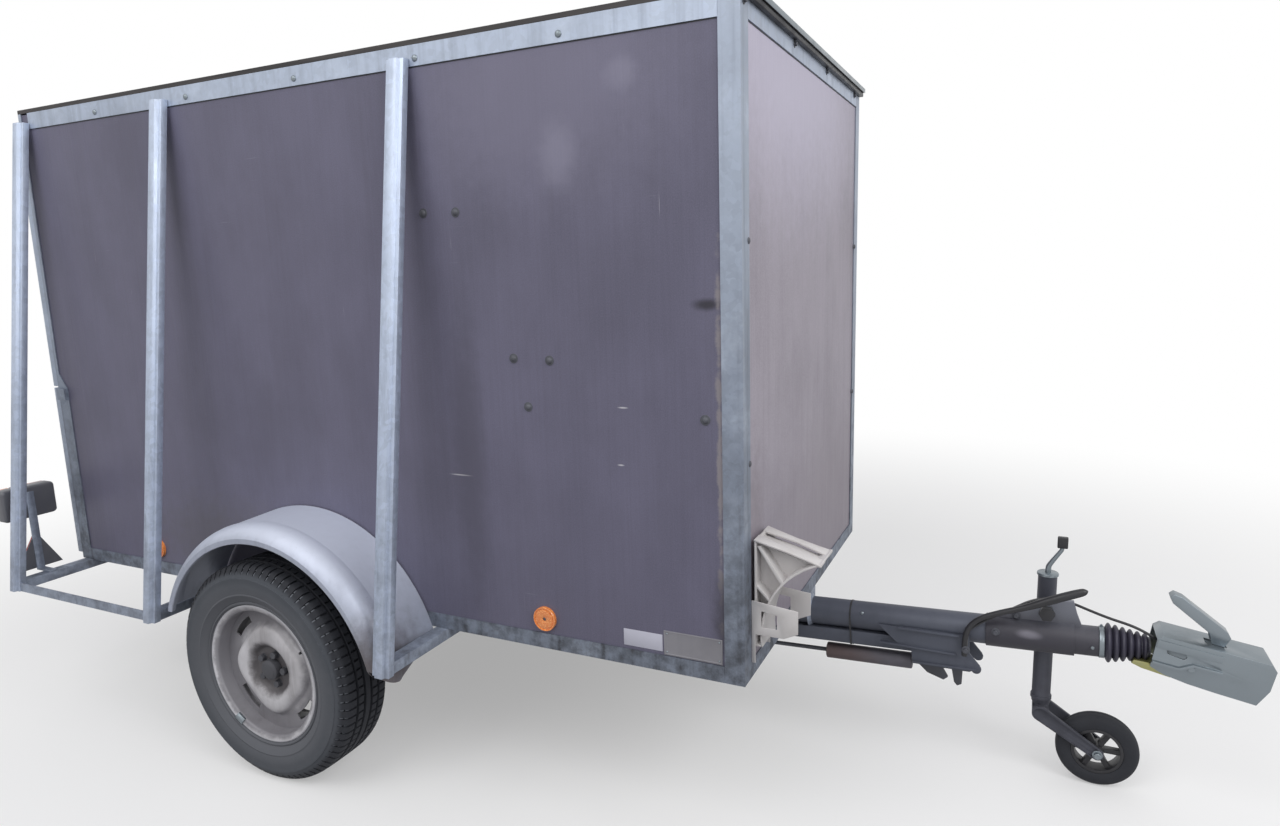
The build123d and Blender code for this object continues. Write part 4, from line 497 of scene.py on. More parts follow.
# Slot or piece, maker, name, the two colours and what else the maker takes.
PLAIN_FINISHES = (
    ("plywood", wood_finish, "floor_plywood", (120, 98, 74), (72, 58, 46)),
    ("roof_board", wood_finish, "roof_plywood", (62, 58, 58), (36, 34, 36)),
    ("dark_steel", steel_finish, "dark_steel", (86, 88, 96), (58, 56, 56), 0.8),
    ("bellows_rubber", rubber_finish, "bellows_rubber", (42, 40, 54), (74, 72, 88), 0.5),
    ("bright_zinc", bright_zinc_finish, "bright_zinc", (132, 140, 146), (126, 134, 138)),
    ("chromate", bright_zinc_finish, "yellow_chromate", (168, 164, 104), (126, 134, 138)),
    ("sticker", plastic_finish, "blank_sticker", (194, 194, 208), (150, 150, 164), 0.6),
    ("name_plate", steel_finish, "blank_plate", (138, 137, 143), (96, 94, 100), 0.1),
    ("jockey_steel", steel_finish, "jockey_steel", (86, 88, 98), (58, 58, 66), 0.4),
    ("jockey_rubber", rubber_finish, "jockey_rubber", (29, 31, 38), (52, 54, 60)),
    ("black_plastic", plastic_finish, "black_plastic", (34, 34, 38), (70, 70, 74)),
    ("grey_plastic", plastic_finish, "grey_plastic", (98, 99, 105), (122, 120, 120)),
    ("white_plastic", plastic_finish, "white_plastic", (206, 203, 203), (166, 158, 152), 0.5),
    ("lamp_lens", lens_finish, "lamp_lens", (176, 26, 24), (96, 10, 12), 130.0),
    ("red_reflector", lens_finish, "red_reflector", (196, 30, 26), (120, 12, 14), 220.0),
    ("amber_reflector", lens_finish, "amber_reflector", (255, 176, 100), (232, 132, 62), 240.0))


def make_finishes(look):
    """Every material of the trailer, by slot or by the piece that it is for."""
    for maker in (weather_group, spangle_group, spot_group, scratch_group):
        maker()
    side = [((x, WALL_Y, up), (long, 0.1, tall), srgb(*tint), share, ragged)
            for x, up, long, tall, tint, share, ragged in SIDE_SPOTS]
    front = [((FRONT_WALL_X, y, up), (0.2, wide, tall), srgb(*tint), share, ragged)
             for y, up, wide, tall, tint, share, ragged in FRONT_SPOTS]
    axle = middle_of("rim_right")
    web = (BAR @ Vector((0.64, 0.0, 0.104)), (0.3, 0.07, 0.095), srgb(124, 127, 137))
    label = (BAR @ Vector((0.597, -0.04, 0.014)), (0.042, 0.03, 0.015), srgb(122, 120, 130))
    rusty = (BAR @ Vector((0.05, -0.02, -0.122)), (0.2, 0.06, 0.06), srgb(104, 88, 86))
    return {
        # The two films differ by painted shade on the side walls and painted light on the front
        # wall.
        "wall_board": film_finish("side_wall_film", look.wall, side, 0.08),
        "front_board": film_finish("front_wall_film", look.front, front, 0.12),
        "galvanised": zinc_finish("galvanised_steel", look.zinc, 0.22, 0.4,
                                  srgb(98, 101, 109), 0.85),
        # Lighter and darker copies of the galvanised zinc: painted highlight on the side posts,
        # painted shade on the corner posts and lower rails.
        "post_zinc": zinc_finish("post_zinc", look.posts, 0.2, 0.4, srgb(112, 116, 126), 0.6),
        "rail_zinc": zinc_finish("rail_zinc", look.rails, 0.22, 0.42, srgb(74, 76, 82), 1.0),
        "fender_steel": fender_finish("fender_sheet", look.fender),
        "rim_paint": wheel_finish("wheel_paint", look.rim, axle),
        "tyre": tyre_finish("road_tyre_rubber", look.rubber, srgb(94, 96, 102), axle),
        "drawbar_paint": steel_finish("drawbar_paint", look.drawbar, srgb(56, 58, 66), 0.5),
        "housing_paint": steel_finish("housing_paint", srgb(58, 57, 65), srgb(84, 84, 92), 0.3,
                                      (web, label)),
        "spring_paint": steel_finish("spring_paint", srgb(108, 107, 116), srgb(84, 80, 86), 0.7,
                                     (rusty,)),
        **{slot: maker(name, srgb(*base), srgb(*other), *more)
           for slot, maker, name, base, other, *more in PLAIN_FINISHES},
    }


FINISHES = {}
# The corner posts and lower rails take the darker zinc copy, as painted shade.
OWN_FINISHES = {"corner_posts": "rail_zinc", "bottom_rails": "rail_zinc"}


class TRAILER_OT_finishes(bpy.types.Operator):
    """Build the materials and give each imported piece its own"""
    bl_idname = "trailer.finishes"
    bl_label = "Finishes"

    def execute(self, context):
        FINISHES.update(make_finishes(context.scene.trailer_finish))
        for part in frame["record"]["subparts"]:
            slots = NODES[part["node"]].data.materials
            slots.clear()
            slots.append(FINISHES[OWN_FINISHES.get(part["node"], part["material_slot"])])
        return {"FINISHED"}


# ------------------------------------------------------------------ modelling helpers
def alone(piece):
    """Select one piece and nothing else."""
    bpy.ops.object.select_all(action="DESELECT")
    piece.select_set(True)
    bpy.context.view_layer.objects.active = piece


def in_place():
    """Put the selected pieces' place, turn and size in their meshes."""
    bpy.ops.object.transform_apply(location=True, rotation=True, scale=True)


def primitive(kind, name, **place):
    """A primitive added with nothing else selected, as the start of a piece."""
    bpy.ops.object.select_all(action="DESELECT")
    getattr(bpy.ops.mesh, "primitive_" + kind + "_add")(**place)
    piece = bpy.context.active_object
    piece.name = name
    return piece


class editing:
    """A stretch in edit mode on one piece, which starts with all of it selected."""

    def __init__(self, piece, kind="FACE"):
        self.piece, self.kind = piece, kind

    def __enter__(self):
        alone(self.piece)
        bpy.ops.object.mode_set(mode="EDIT")
        bpy.ops.mesh.select_mode(type=self.kind)
        bpy.ops.mesh.select_all(action="SELECT")

    def __exit__(self, *problem):
        bpy.ops.object.mode_set(mode="OBJECT")


def pick_faces(piece, test):
    """In edit mode, select the faces whose middle and normal pass the test."""
    bpy.ops.mesh.select_mode(type="FACE")
    bpy.ops.mesh.select_all(action="DESELECT")
    work = bmesh.from_edit_mesh(piece.data)
    for face in work.faces:
        face.select_set(test(face.calc_center_median(), face.normal))
    bmesh.update_edit_mesh(piece.data)


def face_outwards(merge=0.0):
    """In edit mode, merge doubles where a distance is given, and turn all faces outwards."""
    bpy.ops.mesh.select_all(action="SELECT")
    if merge:
        bpy.ops.mesh.remove_doubles(threshold=merge)
    bpy.ops.mesh.normals_make_consistent(inside=False)


def extrude(push):
    bpy.ops.mesh.extrude_region_move(TRANSFORM_OT_translate={"value": push})


def spin(steps, angle):
    bpy.ops.mesh.spin(steps=steps, angle=angle, center=(0, 0, 0), axis=(0, 1, 0))


def modify(piece, kind, **settings):
    """Add one modifier with its settings and apply it."""
    alone(piece)
    bpy.ops.object.modifier_add(type=kind)
    for name, value in settings.items():
        setattr(piece.modifiers[-1], name, value)
    bpy.ops.object.modifier_apply(modifier=piece.modifiers[-1].name)


def traced(name, points, closed=False):
    """A line drawn point by point: one vertex, extruded from place to place."""
    piece = primitive("plane", name, size=0.01)
    points = [Vector(point) for point in points]
    with editing(piece, "VERT"):
        bpy.ops.mesh.merge(type="CENTER")
        bpy.ops.transform.translate(value=points[0])
        for before, after in zip(points, points[1:]):
            extrude(after - before)
        bpy.ops.mesh.select_all(action="SELECT")
        if closed:
            bpy.ops.mesh.edge_face_add()
    return piece


def plate(name, outline, push):
    """A flat outline, filled and extruded along a vector."""
    piece = traced(name, outline, closed=True)
    with editing(piece):
        extrude(Vector(push))
        face_outwards()
    return piece


def section(outline):
    """Points for (radius, outboard) pairs in millimetres, in the plane of X = 0."""
    return [(0, -out * MM, radius * MM) for radius, out in outline]


def turned(name, outline, steps, closed=False):
    """An outline of (radius, outboard) pairs spun about the Y axis, outboard towards -Y."""
    piece = traced(name, section(list(outline) + ([outline[0]] if closed else [])))
    with editing(piece, "VERT"):
        spin(steps, 2 * pi)
        face_outwards(merge=TOUCHING)
    return piece


def round_line(name, points, radius, sizes=()):
    """A smooth curve near its control points, with a round section that may swell and shrink."""
    curve = bpy.data.curves.new(name, "CURVE")
    curve.dimensions = "3D"
    spline = curve.splines.new("NURBS")
    spline.points.add(len(points) - 1)
    for index, (target, point) in enumerate(zip(spline.points, points)):
        target.co = (*point, 1)
        target.radius = sizes[index] if sizes else 1
    spline.order_u = 3
    spline.use_endpoint_u = True
    curve.bevel_depth = radius
    curve.bevel_resolution = 4
    curve.resolution_u = 8
    curve.use_fill_caps = True
    line = bpy.data.objects.new(name, curve)
    bpy.context.scene.collection.objects.link(line)
    return line


def bent_bar(name, points, radius, sizes=()):
    """A round line turned into a mesh with closed ends."""
    alone(round_line(name, points, radius, sizes))
    bpy.ops.object.convert(target="MESH")
    piece = bpy.context.active_object
    with editing(piece):
        face_outwards(merge=TOUCHING)
    return piece


def block(name, low, high):
    """A box between two corners."""
    low, high = Vector(low), Vector(high)
    piece = primitive("cube", name, size=1, location=(low + high) / 2, scale=high - low)
    in_place()
    return piece


def joined(pieces, name):
    """Several pieces as one object."""
    bpy.ops.object.select_all(action="DESELECT")
    for piece in pieces:
        piece.select_set(True)
    bpy.context.view_layer.objects.active = pieces[0]
    if len(pieces) > 1:
        bpy.ops.object.join()
    in_place()
    pieces[0].name = name
    return pieces[0]


def twin(piece, name, place):
    """A copy of a piece with its own mesh, at a place."""
    copy = piece.copy()
    copy.data = piece.data.copy()
    copy.name = name
    copy.matrix_world = place
    bpy.context.scene.collection.objects.link(copy)
    return copy


def repeated(pattern, places):
    """One object of copies of a pattern at the places given, under the pattern's name."""
    name = pattern.name
    copies = [twin(pattern, name, place @ pattern.matrix_world) for place in places]
    bpy.data.objects.remove(pattern)
    return joined(copies, name)


def finished(piece, slot, body="trailer", smooth=35, bevel=0.0, segments=2, finish=""):
    """Put the piece's place in its mesh, soften its edges, and give it a finish and a body."""
    alone(piece)
    in_place()
    if bevel:
        modify(piece, "BEVEL", width=bevel, segments=segments, limit_method="ANGLE",
               angle_limit=SHARP, use_clamp_overlap=True)
    alone(piece)
    bpy.ops.object.shade_smooth_by_angle(angle=radians(smooth))
    piece.data.materials.clear()
    piece.data.materials.append(FINISHES[finish or slot])
    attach(piece, body)
    return piece


def copied(node, name):
    """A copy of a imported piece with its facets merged."""
    piece = twin(NODES[node], name, Matrix.Identity(4))
    for key in list(piece.keys()):
        del piece[key]
    piece.parent = None
    piece.matrix_world = Matrix.Identity(4)
    piece.hide_viewport = piece.hide_render = False
    piece.hide_set(False)
    with editing(piece):
        bpy.ops.mesh.remove_doubles(threshold=TOUCHING)
        bpy.ops.mesh.dissolve_limited(angle_limit=radians(0.6))
    return piece


def at(place, axis=(0, -1, 0), base=Matrix()):
    """Where a bolt or turned piece goes: its seat, and the axis that takes its outboard side.

    Both are given in a base such as the drawbar's.
    """
    turn = Vector((0, -1, 0)).rotation_difference(base.to_3x3() @ Vector(axis))
    return Matrix.Translation(base @ Vector(place)) @ turn.to_matrix().to_4x4()


def about_axle(angle, place=(0, 0, 0)):
    return Matrix.Rotation(angle, 4, "Y") @ Matrix.Translation(place)


def hex_bolt(name, across, height, washer=0.0):
    """A hexagon head with chamfered corners, its seat at the origin, facing -Y."""
    wide, tall = across * MM, height * MM
    head = primitive("cylinder", name, vertices=6, radius=wide / sqrt(3), depth=tall,
                     location=(0, -tall / 2, 0), rotation=(pi / 2, 0, 0))
    in_place()
    with editing(head):
        pick_faces(head, lambda middle, normal: normal.y < -0.9)
        for inward, sunk in ((0.07 * wide, -0.14 * tall), (0.2 * wide, 0.08 * tall)):
            bpy.ops.mesh.inset(thickness=inward)
            bpy.ops.transform.translate(value=(0, sunk, 0))
    if not washer:
        return head
    ring = turned(name + "_washer", ((0, 1.2), (washer * 0.9, 1.2), (washer, 0.8),
                                     (washer, -0.4)), 20)
    return joined([head, ring], name)


def dome_head(name, radius, height):
    """A pan head or rivet, its seat at the origin, facing -Y."""
    return turned(name, ((0, height), (radius * 0.45, height * 0.92), (radius * 0.8, height * 0.6),
                         (radius, height * 0.15), (radius, -0.6)), 14)


def both_wheels(piece, slot, replaced="", **looks):
    """Place a wheel's piece on the right, and a half-turned copy on the left."""
    for hand, turn in (("right", 0), ("left", pi)):
        place = Matrix.Translation(WHEELS[hand]) @ Matrix.Rotation(turn, 4, "Z")
        copy = twin(piece, piece.name + "_" + hand, place)
        finished(copy, slot, "wheel_" + hand, **looks)
        if replaced:
            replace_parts(copy, replaced + "_" + hand)
    bpy.data.objects.remove(piece)


# ------------------------------------------------------------------ drawbar cable
# Control points along the drawbar, up and to the left, in metres from the front wall's foot.
CABLE_ROUTE = ((0.436, 0.000, -0.048), (0.468, 0.029, -0.048), (0.515, 0.058, -0.042),
               (0.560, 0.080, -0.030), (0.602, 0.097, -0.004), (0.648, 0.099, 0.022),
               (0.699, 0.089, 0.027), (0.744, 0.077, 0.012), (0.788, 0.069, -0.008),
               (0.832, 0.062, -0.020), (0.866, 0.048, -0.023), (0.890, 0.031, -0.018))

CABLE_RADIUS = 0.0035


class TRAILER_OT_cable(bpy.types.Operator):
    """Lay the cable from the lever's bracket over the overrun device into the coupling"""
    bl_idname = "trailer.cable"
    bl_label = "Drawbar cable"

    def execute(self, context):
        points = [BAR @ Vector((x, y, up)) for x, up, y in CABLE_ROUTE]
        cable = round_line("drawbar_cable_run", points, CABLE_RADIUS)
        cable.data.materials.append(FINISHES["black_plastic"])
        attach(cable, "trailer")
        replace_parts(cable, "drawbar_cable")
        return {"FINISHED"}


# ------------------------------------------------------------------ road wheels
# (radius, outboard) from the outboard bead over the tread; the other half mirrors it.
TYRE_OUTLINE = ((193.5, 67), (206, 74.5), (210.5, 76.5), (212.5, 80.5), (215.5, 80.5),
                (218, 77.5), (226, 83.5), (238, 89.5), (240, 91.2), (243, 91.2), (244.5, 90.5),
                (258, 93.8), (272, 94.5), (286, 92.8), (288.5, 93.6), (291.5, 93), (293, 90.5),
                (302, 86.8), (310.5, 81.5), (314.5, 76.5), (319.5, 74.5), (323.8, 69),
                (325.8, 60), (326.4, 44), (319, 42.5), (319, 36.5), (326.7, 35), (327, 17),
                (319.2, 15.8), (319.2, 9.2), (327, 8))
# Slits of the shoulder and the two ribs: from and to outboard, and how deep, in metres.
SIPES = ((0.0755, 0.09, 0.0042), (0.046, 0.0755, 0.0052), (0.0175, 0.035, 0.0052))
SIPE_RADIUS = 0.302          # only faces further out than this have slits
TREAD_RADIUS = 0.32
RIM_BARREL = ((191, 20), (191, 66), (192.5, 69.5), (197, 71), (203.5, 71.8), (206.8, 73.5),
              (207, 76), (204.5, 77.5), (201, 76.8), (195.5, 75.2), (190.5, 73.8),
              (187.8, 70.5), (187, 66), (187, 20), (185.5, 16.5), (170, 5), (169, 1),
              (169, -29), (170, -33), (185.8, -44.5), (187, -48), (187, -70), (190.5, -73.5),
              (201, -76.8), (207, -75.8), (206.8, -73.5), (197, -71.2), (191.2, -69),
              (191, -43), (174, -29), (173.5, -27), (173.5, -1), (174.5, 1), (190.5, 16))
# Middle of the pressed sheet: hub face, recess wall, crown, and the flat that meets the barrel.
RIM_DISC = ((30, 29), (32, 30), (45, 30), (56, 30), (62, 30.4), (66, 32), (69.5, 35.5),
            (73, 41), (76.5, 46.2), (80.5, 49.8), (85, 52), (90, 53), (96, 53.2), (102, 52.6),
            (108, 50.8), (113.5, 47.2), (117.5, 42), (121, 35.6), (125, 31.5), (132, 30),
            (148, 30), (155, 30), (162, 30), (169, 30), (179, 30), (186.8, 30))
RIM_SLOT = (0.149, 0.168, 0.25)      # inner and outer radius, half its angle
CROWN_START, CROWN_END = 0.084, 0.147
CROWN_RISE, CROWN_FALL = 0.022, 0.018
STUDS = 5
STUD_CIRCLE = 0.046
STUD_TURN = 0.3
WEIGHT_ANGLE = radians(-145)
VALVE_ANGLE = radians(60)


def crown_reach(angle):
    """How much further the crown reaches at its four corners, the lowest one straight down."""
    across, up = abs(cos(angle + pi / 4)), abs(sin(angle + pi / 4))
    return (across ** 3.4 + up ** 3.4) ** (-1 / 3.4)


class TRAILER_OT_wheels(bpy.types.Operator):
    """Model the road tyres with tread and the pressed wheels with their four-cornered crown"""
    bl_idname = "trailer.wheels"
    bl_label = "Road wheels"

    def execute(self, context):
        self.tyre()
        self.rim()
        self.studs()
        self.flange_parts()
        return {"FINISHED"}

    def tyre(self):
        """One pitch of the tread is spun, its slits pushed in, and the pitch repeated round."""
        outline = list(TYRE_OUTLINE) + [(radius, -out) for radius, out in TYRE_OUTLINE[::-1]]
        pitch = traced("road_tyre", section(outline))
        step = 2 * pi / TYRE_PITCHES / 4
        with editing(pitch, "VERT"):
            spin(4, 4 * step)
            for low, high, depth in SIPES:
                pick_faces(pitch, lambda middle, normal: low < abs(middle.y) < high
                           and hypot(middle.x, middle.z) > SIPE_RADIUS
                           and abs(abs(atan2(middle.x, middle.z)) - step / 2) < step * 0.45)
                bpy.ops.mesh.extrude_region_move()
                shrink = 1 - depth / TREAD_RADIUS
                bpy.ops.transform.resize(value=(shrink, 1, shrink), center_override=(0, 0, 0))
        tyre = repeated(pitch, [about_axle(4 * step * turn) for turn in range(TYRE_PITCHES)])
        with editing(tyre):
            face_outwards(merge=1.5 * TOUCHING)
        both_wheels(tyre, "tyre", "tyre", smooth=34)

    def rim(self):
        """Barrel and disc are spun; the crown's corners are drawn out and its slots cut."""
        barrel = turned("pressed_wheel", RIM_BARREL, 96, closed=True)
        disc = turned("rim_disc", RIM_DISC, 96)
        inner, outer, half = RIM_SLOT
        with editing(disc):
            pick_faces(disc, lambda middle, normal: inner < hypot(middle.x, middle.z) < outer
                       and abs(atan2(middle.x, middle.z) % (pi / 2) - pi / 4) < half)
            bpy.ops.mesh.delete(type="FACE")
            work = bmesh.from_edit_mesh(disc.data)
            for vertex in work.verts:
                radius = hypot(vertex.co.x, vertex.co.z)
                share = min(max((radius - CROWN_START) / CROWN_RISE, 0), 1,
                            max((CROWN_END - radius) / CROWN_FALL, 0))
                grow = 1 + (crown_reach(atan2(vertex.co.x, vertex.co.z)) - 1) * share
                vertex.co.x *= grow
                vertex.co.z *= grow
            bmesh.update_edit_mesh(disc.data)
        modify(disc, "SOLIDIFY", thickness=0.004, offset=0)
        both_wheels(joined([barrel, disc], "pressed_wheel"), "rim_paint", "rim", smooth=40)

    def studs(self):
        nuts = repeated(hex_bolt("wheel_nuts", 19, 13, 12.5), [
            about_axle(2 * pi * turn / STUDS + STUD_TURN, (0, -0.032, STUD_CIRCLE))
            for turn in range(STUDS)])
        both_wheels(nuts, "dark_steel", bevel=0.0006)
        both_wheels(turned("hub_cap", ((0, 57.3), (12, 57), (20.5, 56.1), (24, 54.6), (29.6, 51.2),
                                       (30.2, 49), (30.2, 32.5)), 32), "dark_steel")

    def flange_parts(self):
        """A clip-on balance weight on the flange and the valve through the disc's edge."""
        weight = block("balance_weight", (-0.015, -0.081, 0.1935), (0.015, -0.074, 0.2065))
        with editing(weight):
            pick_faces(weight, lambda middle, normal: normal.z < -0.9)
            extrude((0, 0.0045, -0.006))
        both_wheels(repeated(weight, [about_axle(WEIGHT_ANGLE)]), "bright_zinc", bevel=0.0012)
        valve = turned("tyre_valve", ((0, 36), (3.2, 36), (3.8, 34.5), (3.8, 26), (3, 25.5),
                                      (3, 14), (6.2, 6), (7.8, 2), (7.8, -2)), 14)
        both_wheels(repeated(valve, [about_axle(VALVE_ANGLE, (0, -0.034, 0.176))]),
                    "black_plastic")


# ------------------------------------------------------------------ rounded copies of the steel
SOFT_EDGES = (
    # node, name, slot, width in mm, body, own finish
    ("coupling_head", "coupling_shell", "bright_zinc", 2.8, "trailer", ""),
    ("coupling_handle", "coupling_grip", "bright_zinc", 1.2, "trailer", ""),
    ("overrun_housing", "overrun_casting", "drawbar_paint", 2.5, "trailer", "housing_paint"),
    ("clamp_knob", "clamp_star", "black_plastic", 2, "trailer", ""),
    ("brake_bracket", "brake_plates", "drawbar_paint", 1, "trailer", ""),
    ("spring_cylinder", "spring_sleeve", "drawbar_paint", 3, "trailer", "spring_paint"),
    ("drawbar_saddle", "drawbar_clamps", "galvanised", 1.5, "trailer", ""),
    ("drawbar_beam", "drawbar_channel", "drawbar_paint", 2, "trailer", ""),
    ("jockey_clamp", "jockey_bracket", "dark_steel", 1.8, "trailer", ""),
    ("jockey_tube", "jockey_pipe", "jockey_steel", 1, "jockey", ""),
    ("jockey_fork", "jockey_cradle", "jockey_steel", 0.9, "jockey_fork", ""),
    ("jockey_rim", "jockey_wheel_body", "black_plastic", 2, "jockey_wheel", ""),
    ("chock_holder", "chock_bracket", "white_plastic", 0.6, "trailer", ""),
    ("lamp_housings", "lamp_bodies", "grey_plastic", 8, "trailer", ""),
    ("lamp_stays", "lamp_brackets", "galvanised", 1.2, "trailer", ""),
    ("triangle_reflectors", "triangle_plates", "red_reflector", 2, "trailer", ""),
    ("side_posts_right", "posts_right", "galvanised", 0.9, "trailer", "post_zinc"),
    ("side_posts_left", "posts_left", "galvanised", 0.9, "trailer", "post_zinc"),
    ("cross_tubes", "outriggers", "galvanised", 1.2, "trailer", ""),
    ("tailgate_frame", "tailgate_surround", "galvanised", 1.2, "tailgate", ""),
    ("upper_flap_frame", "flap_surround", "galvanised", 1.2, "upper_flap", ""),
    ("swing_arms", "trailing_arms", "dark_steel", 3, "trailer", ""),
)


class TRAILER_OT_soft_edges(bpy.types.Operator):
    """Round over the edges of the castings, pressings and mouldings"""
    bl_idname = "trailer.soft_edges"
    bl_label = "Rounded steel"

    def execute(self, context):
        for node, name, slot, width, body, finish in SOFT_EDGES:
            piece = finished(copied(node, name), slot, body, smooth=38, bevel=width * MM,
                             finish=finish)
            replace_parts(piece, node)
        return {"FINISHED"}


# ------------------------------------------------------------------ bolts, plates, reflectors
# From the front wall backwards, and above the deck.
PANEL_BOLTS = ((-0.850, 1.126), (-0.749, 1.123), (-0.599, 0.760), (-0.495, 0.757),
               (-0.563, 0.639), (-0.091, 0.630))
FRONT_BOLTS = ((-0.58, 1.025), (0.58, 1.025), (-0.58, 0.526), (0.58, 0.526))    # left, up
RAIL_RIVETS = (-0.43, -0.84, -1.25, -1.68, -2.10)
RIVETS_UP = 1.498
ROOF_BOLTS = (-0.605, -0.206, 0.141, 0.536)      # to the left
REFLECTORS = ((0.188, 0.553), (-1.339, 0.558))   # x and z
# Height of the thin black strips that paint the shadow in the gaps below the top rails.
GAP_SHADOW_TALL = 0.0028
# Lower rear and upper front corner of the two blank plates, from the front and above the deck.
STICKER = ((-0.316, 0.050), (-0.211, 0.093))
TYPE_PLATE = ((-0.207, 0.043), (-0.056, 0.106))
PLATE_INSET = 0.008


class TRAILER_OT_wall_fittings(bpy.types.Operator):
    """Add the walls' bolts and rivets, the roof's edging, blank plates and the reflectors"""
    bl_idname = "trailer.wall_fittings"
    bl_label = "Wall fittings"

    def execute(self, context):
        self.bolts()
        self.roof_edge()
        self.plates()
        self.reflectors()
        return {"FINISHED"}

    def bolts(self):
        coach = turned("panel_bolts", ((0, 7.2), (3.5, 6.8), (6.8, 5), (8.6, 1.6), (11.8, 1.4),
                                       (12.4, 0.8), (12.4, -0.6)), 20)
        spots = [at((FRONT_X + x, WALL_Y, DECK_Z + up)) for x, up in PANEL_BOLTS]
        spots += [at((FRONT_WALL_X, y, DECK_Z + up), (1, 0, 0)) for y, up in FRONT_BOLTS]
        finished(repeated(coach, spots), "dark_steel")
        spots = [at((FRONT_X + x, side * SIDE_Y, DECK_Z + RIVETS_UP), (0, side, 0))
                 for x in RAIL_RIVETS for side in (-1, 1)]
        finished(repeated(dome_head("rail_rivets", 8.5, 5.5), spots), "bright_zinc")
        spots = [at((FRONT_X + 0.0005, y, ROOF_Z - 0.021), (1, 0, 0)) for y in ROOF_BOLTS]
        finished(repeated(hex_bolt("roof_bolts", 10, 6, 9), spots), "dark_steel", bevel=0.0004)

    def roof_edge(self):
        """Bright edging along the front, a black strip under the roof's overhang as painted
        shadow, and black strips below the top rails as painted shadow in the gaps.
        """
        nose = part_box("roof_panel")[1].x
        trim = block("roof_trim", (nose - 0.0008, -SIDE_Y, ROOF_Z - 0.001),
                     (nose + 0.0012, SIDE_Y, ROOF_Z + 0.0122))
        finished(trim, "bright_zinc", bevel=0.0006)
        # Painted shadow: a black strip under the roof's overhang.
        overhang_shadow = block("roof_seal", (FRONT_X, -SIDE_Y + 0.004, ROOF_Z - 0.013),
                     (nose - 0.004, SIDE_Y - 0.004, ROOF_Z + 0.0004))
        finished(overhang_shadow, "black_plastic", bevel=0.002)
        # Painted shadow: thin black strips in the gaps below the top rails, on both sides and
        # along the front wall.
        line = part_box("top_rails")[0].z - GAP_SHADOW_TALL
        gaps = [block("panel_gaps", (REAR_X + 0.08, side * (-WALL_Y + 0.0006), line),
                      (FRONT_X - 0.055, side * (-WALL_Y - 0.001), line + GAP_SHADOW_TALL))
                for side in (-1, 1)]
        gaps.append(block("panel_gaps", (FRONT_WALL_X - 0.001, -0.575, line),
                          (FRONT_WALL_X + 0.0006, 0.575, line + GAP_SHADOW_TALL)))
        gaps = joined(gaps, "panel_gaps")
        with editing(gaps):
            face_outwards()
        finished(gaps, "black_plastic")

    def plates(self):
        (start, low), (end, high) = STICKER
        sticker = block("blank_sticker", (FRONT_X + start, WALL_Y - 0.0005, DECK_Z + low),
                        (FRONT_X + end, WALL_Y + 0.0005, DECK_Z + high))
        finished(sticker, "white_plastic", bevel=0.0002, finish="sticker")
        (start, low), (end, high) = TYPE_PLATE
        low = Vector((FRONT_X + start, WALL_Y - 0.0016, DECK_Z + low))
        high = Vector((FRONT_X + end, WALL_Y + 0.0005, DECK_Z + high))
        label = block("blank_plate", low, high)
        with editing(label):
            pick_faces(label, lambda middle, normal: normal.y < -0.9)
            bpy.ops.mesh.inset(thickness=0.0035)
            bpy.ops.mesh.inset(thickness=0.0008)
            bpy.ops.transform.translate(value=(0, 0.0009, 0))
        finished(label, "galvanised", bevel=0.0003, finish="name_plate")
        spots = [at((x, low.y + 0.0009, up))
                 for x in (low.x + PLATE_INSET, high.x - PLATE_INSET)
                 for up in (low.z + PLATE_INSET, high.z - PLATE_INSET)]
        finished(repeated(dome_head("plate_rivets", 2.6, 1.8), spots), "bright_zinc")

    def reflectors(self):
        disc = turned("wall_reflectors", (
            (0, 5.5), (4.6, 5.5), (5, 7.4), (8, 8.4), (23.6, 9), (25.8, 8.4), (26.6, 7),
            (28.4, 7), (29.2, 9.4), (31.6, 9.4), (32.5, 8.2), (32.5, 0), (0, 0)), 48)
        spots = [at((x, side * -WALL_Y, up), (0, side, 0)) for x, up in REFLECTORS
                 for side in (-1, 1)]
        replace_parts(finished(repeated(disc, spots), "amber_reflector"), "side_reflectors")
        sunk = [spot @ Matrix.Translation((0, -0.0056, 0)) for spot in spots]
        finished(repeated(dome_head("reflector_screws", 4.4, 2.6), sunk), "dark_steel")


# ------------------------------------------------------------------ drawbar and coupling
# Along the drawbar and up, and the thickness there; the grip is thick and its end is round.
LEVER_Y = -0.058
LEVER_LINE = ((0.438, -0.060, 1), (0.438, -0.020, 1), (0.446, 0.020, 1), (0.474, 0.052, 1),
              (0.525, 0.074, 1), (0.585, 0.094, 1.1), (0.625, 0.112, 1.45), (0.675, 0.134, 1.5),
              (0.716, 0.150, 1.45), (0.729, 0.155, 1.1), (0.733, 0.157, 0.2))
# Levers that hang below the brake bracket, along the drawbar and up.
HANGING_LEVERS = (
    ((0.300, -0.116), (0.368, -0.116), (0.390, -0.156), (0.378, -0.166), (0.334, -0.150)),
    ((0.398, -0.116), (0.430, -0.116), (0.426, -0.172), (0.414, -0.178), (0.406, -0.168)))
# The bellows, in millimetres; a fold is given along it and by how far it is below its peak.
FOLDS, FOLD_PITCH, FIRST_PEAK, PEAK_LOSS = 6, 16.5, 50.8, 3.4
SLEEVE_RADIUS = 25.6
FOLD = ((0.6, 10.5), (3.2, 4.8), (5.8, 1), (8.3, 0), (10.8, 1), (13.4, 4.8), (15.9, 10.5))
FORWARD = (1, 0, 0)
TIE_RADIUS, TIE_POINTS = 0.0412, 19


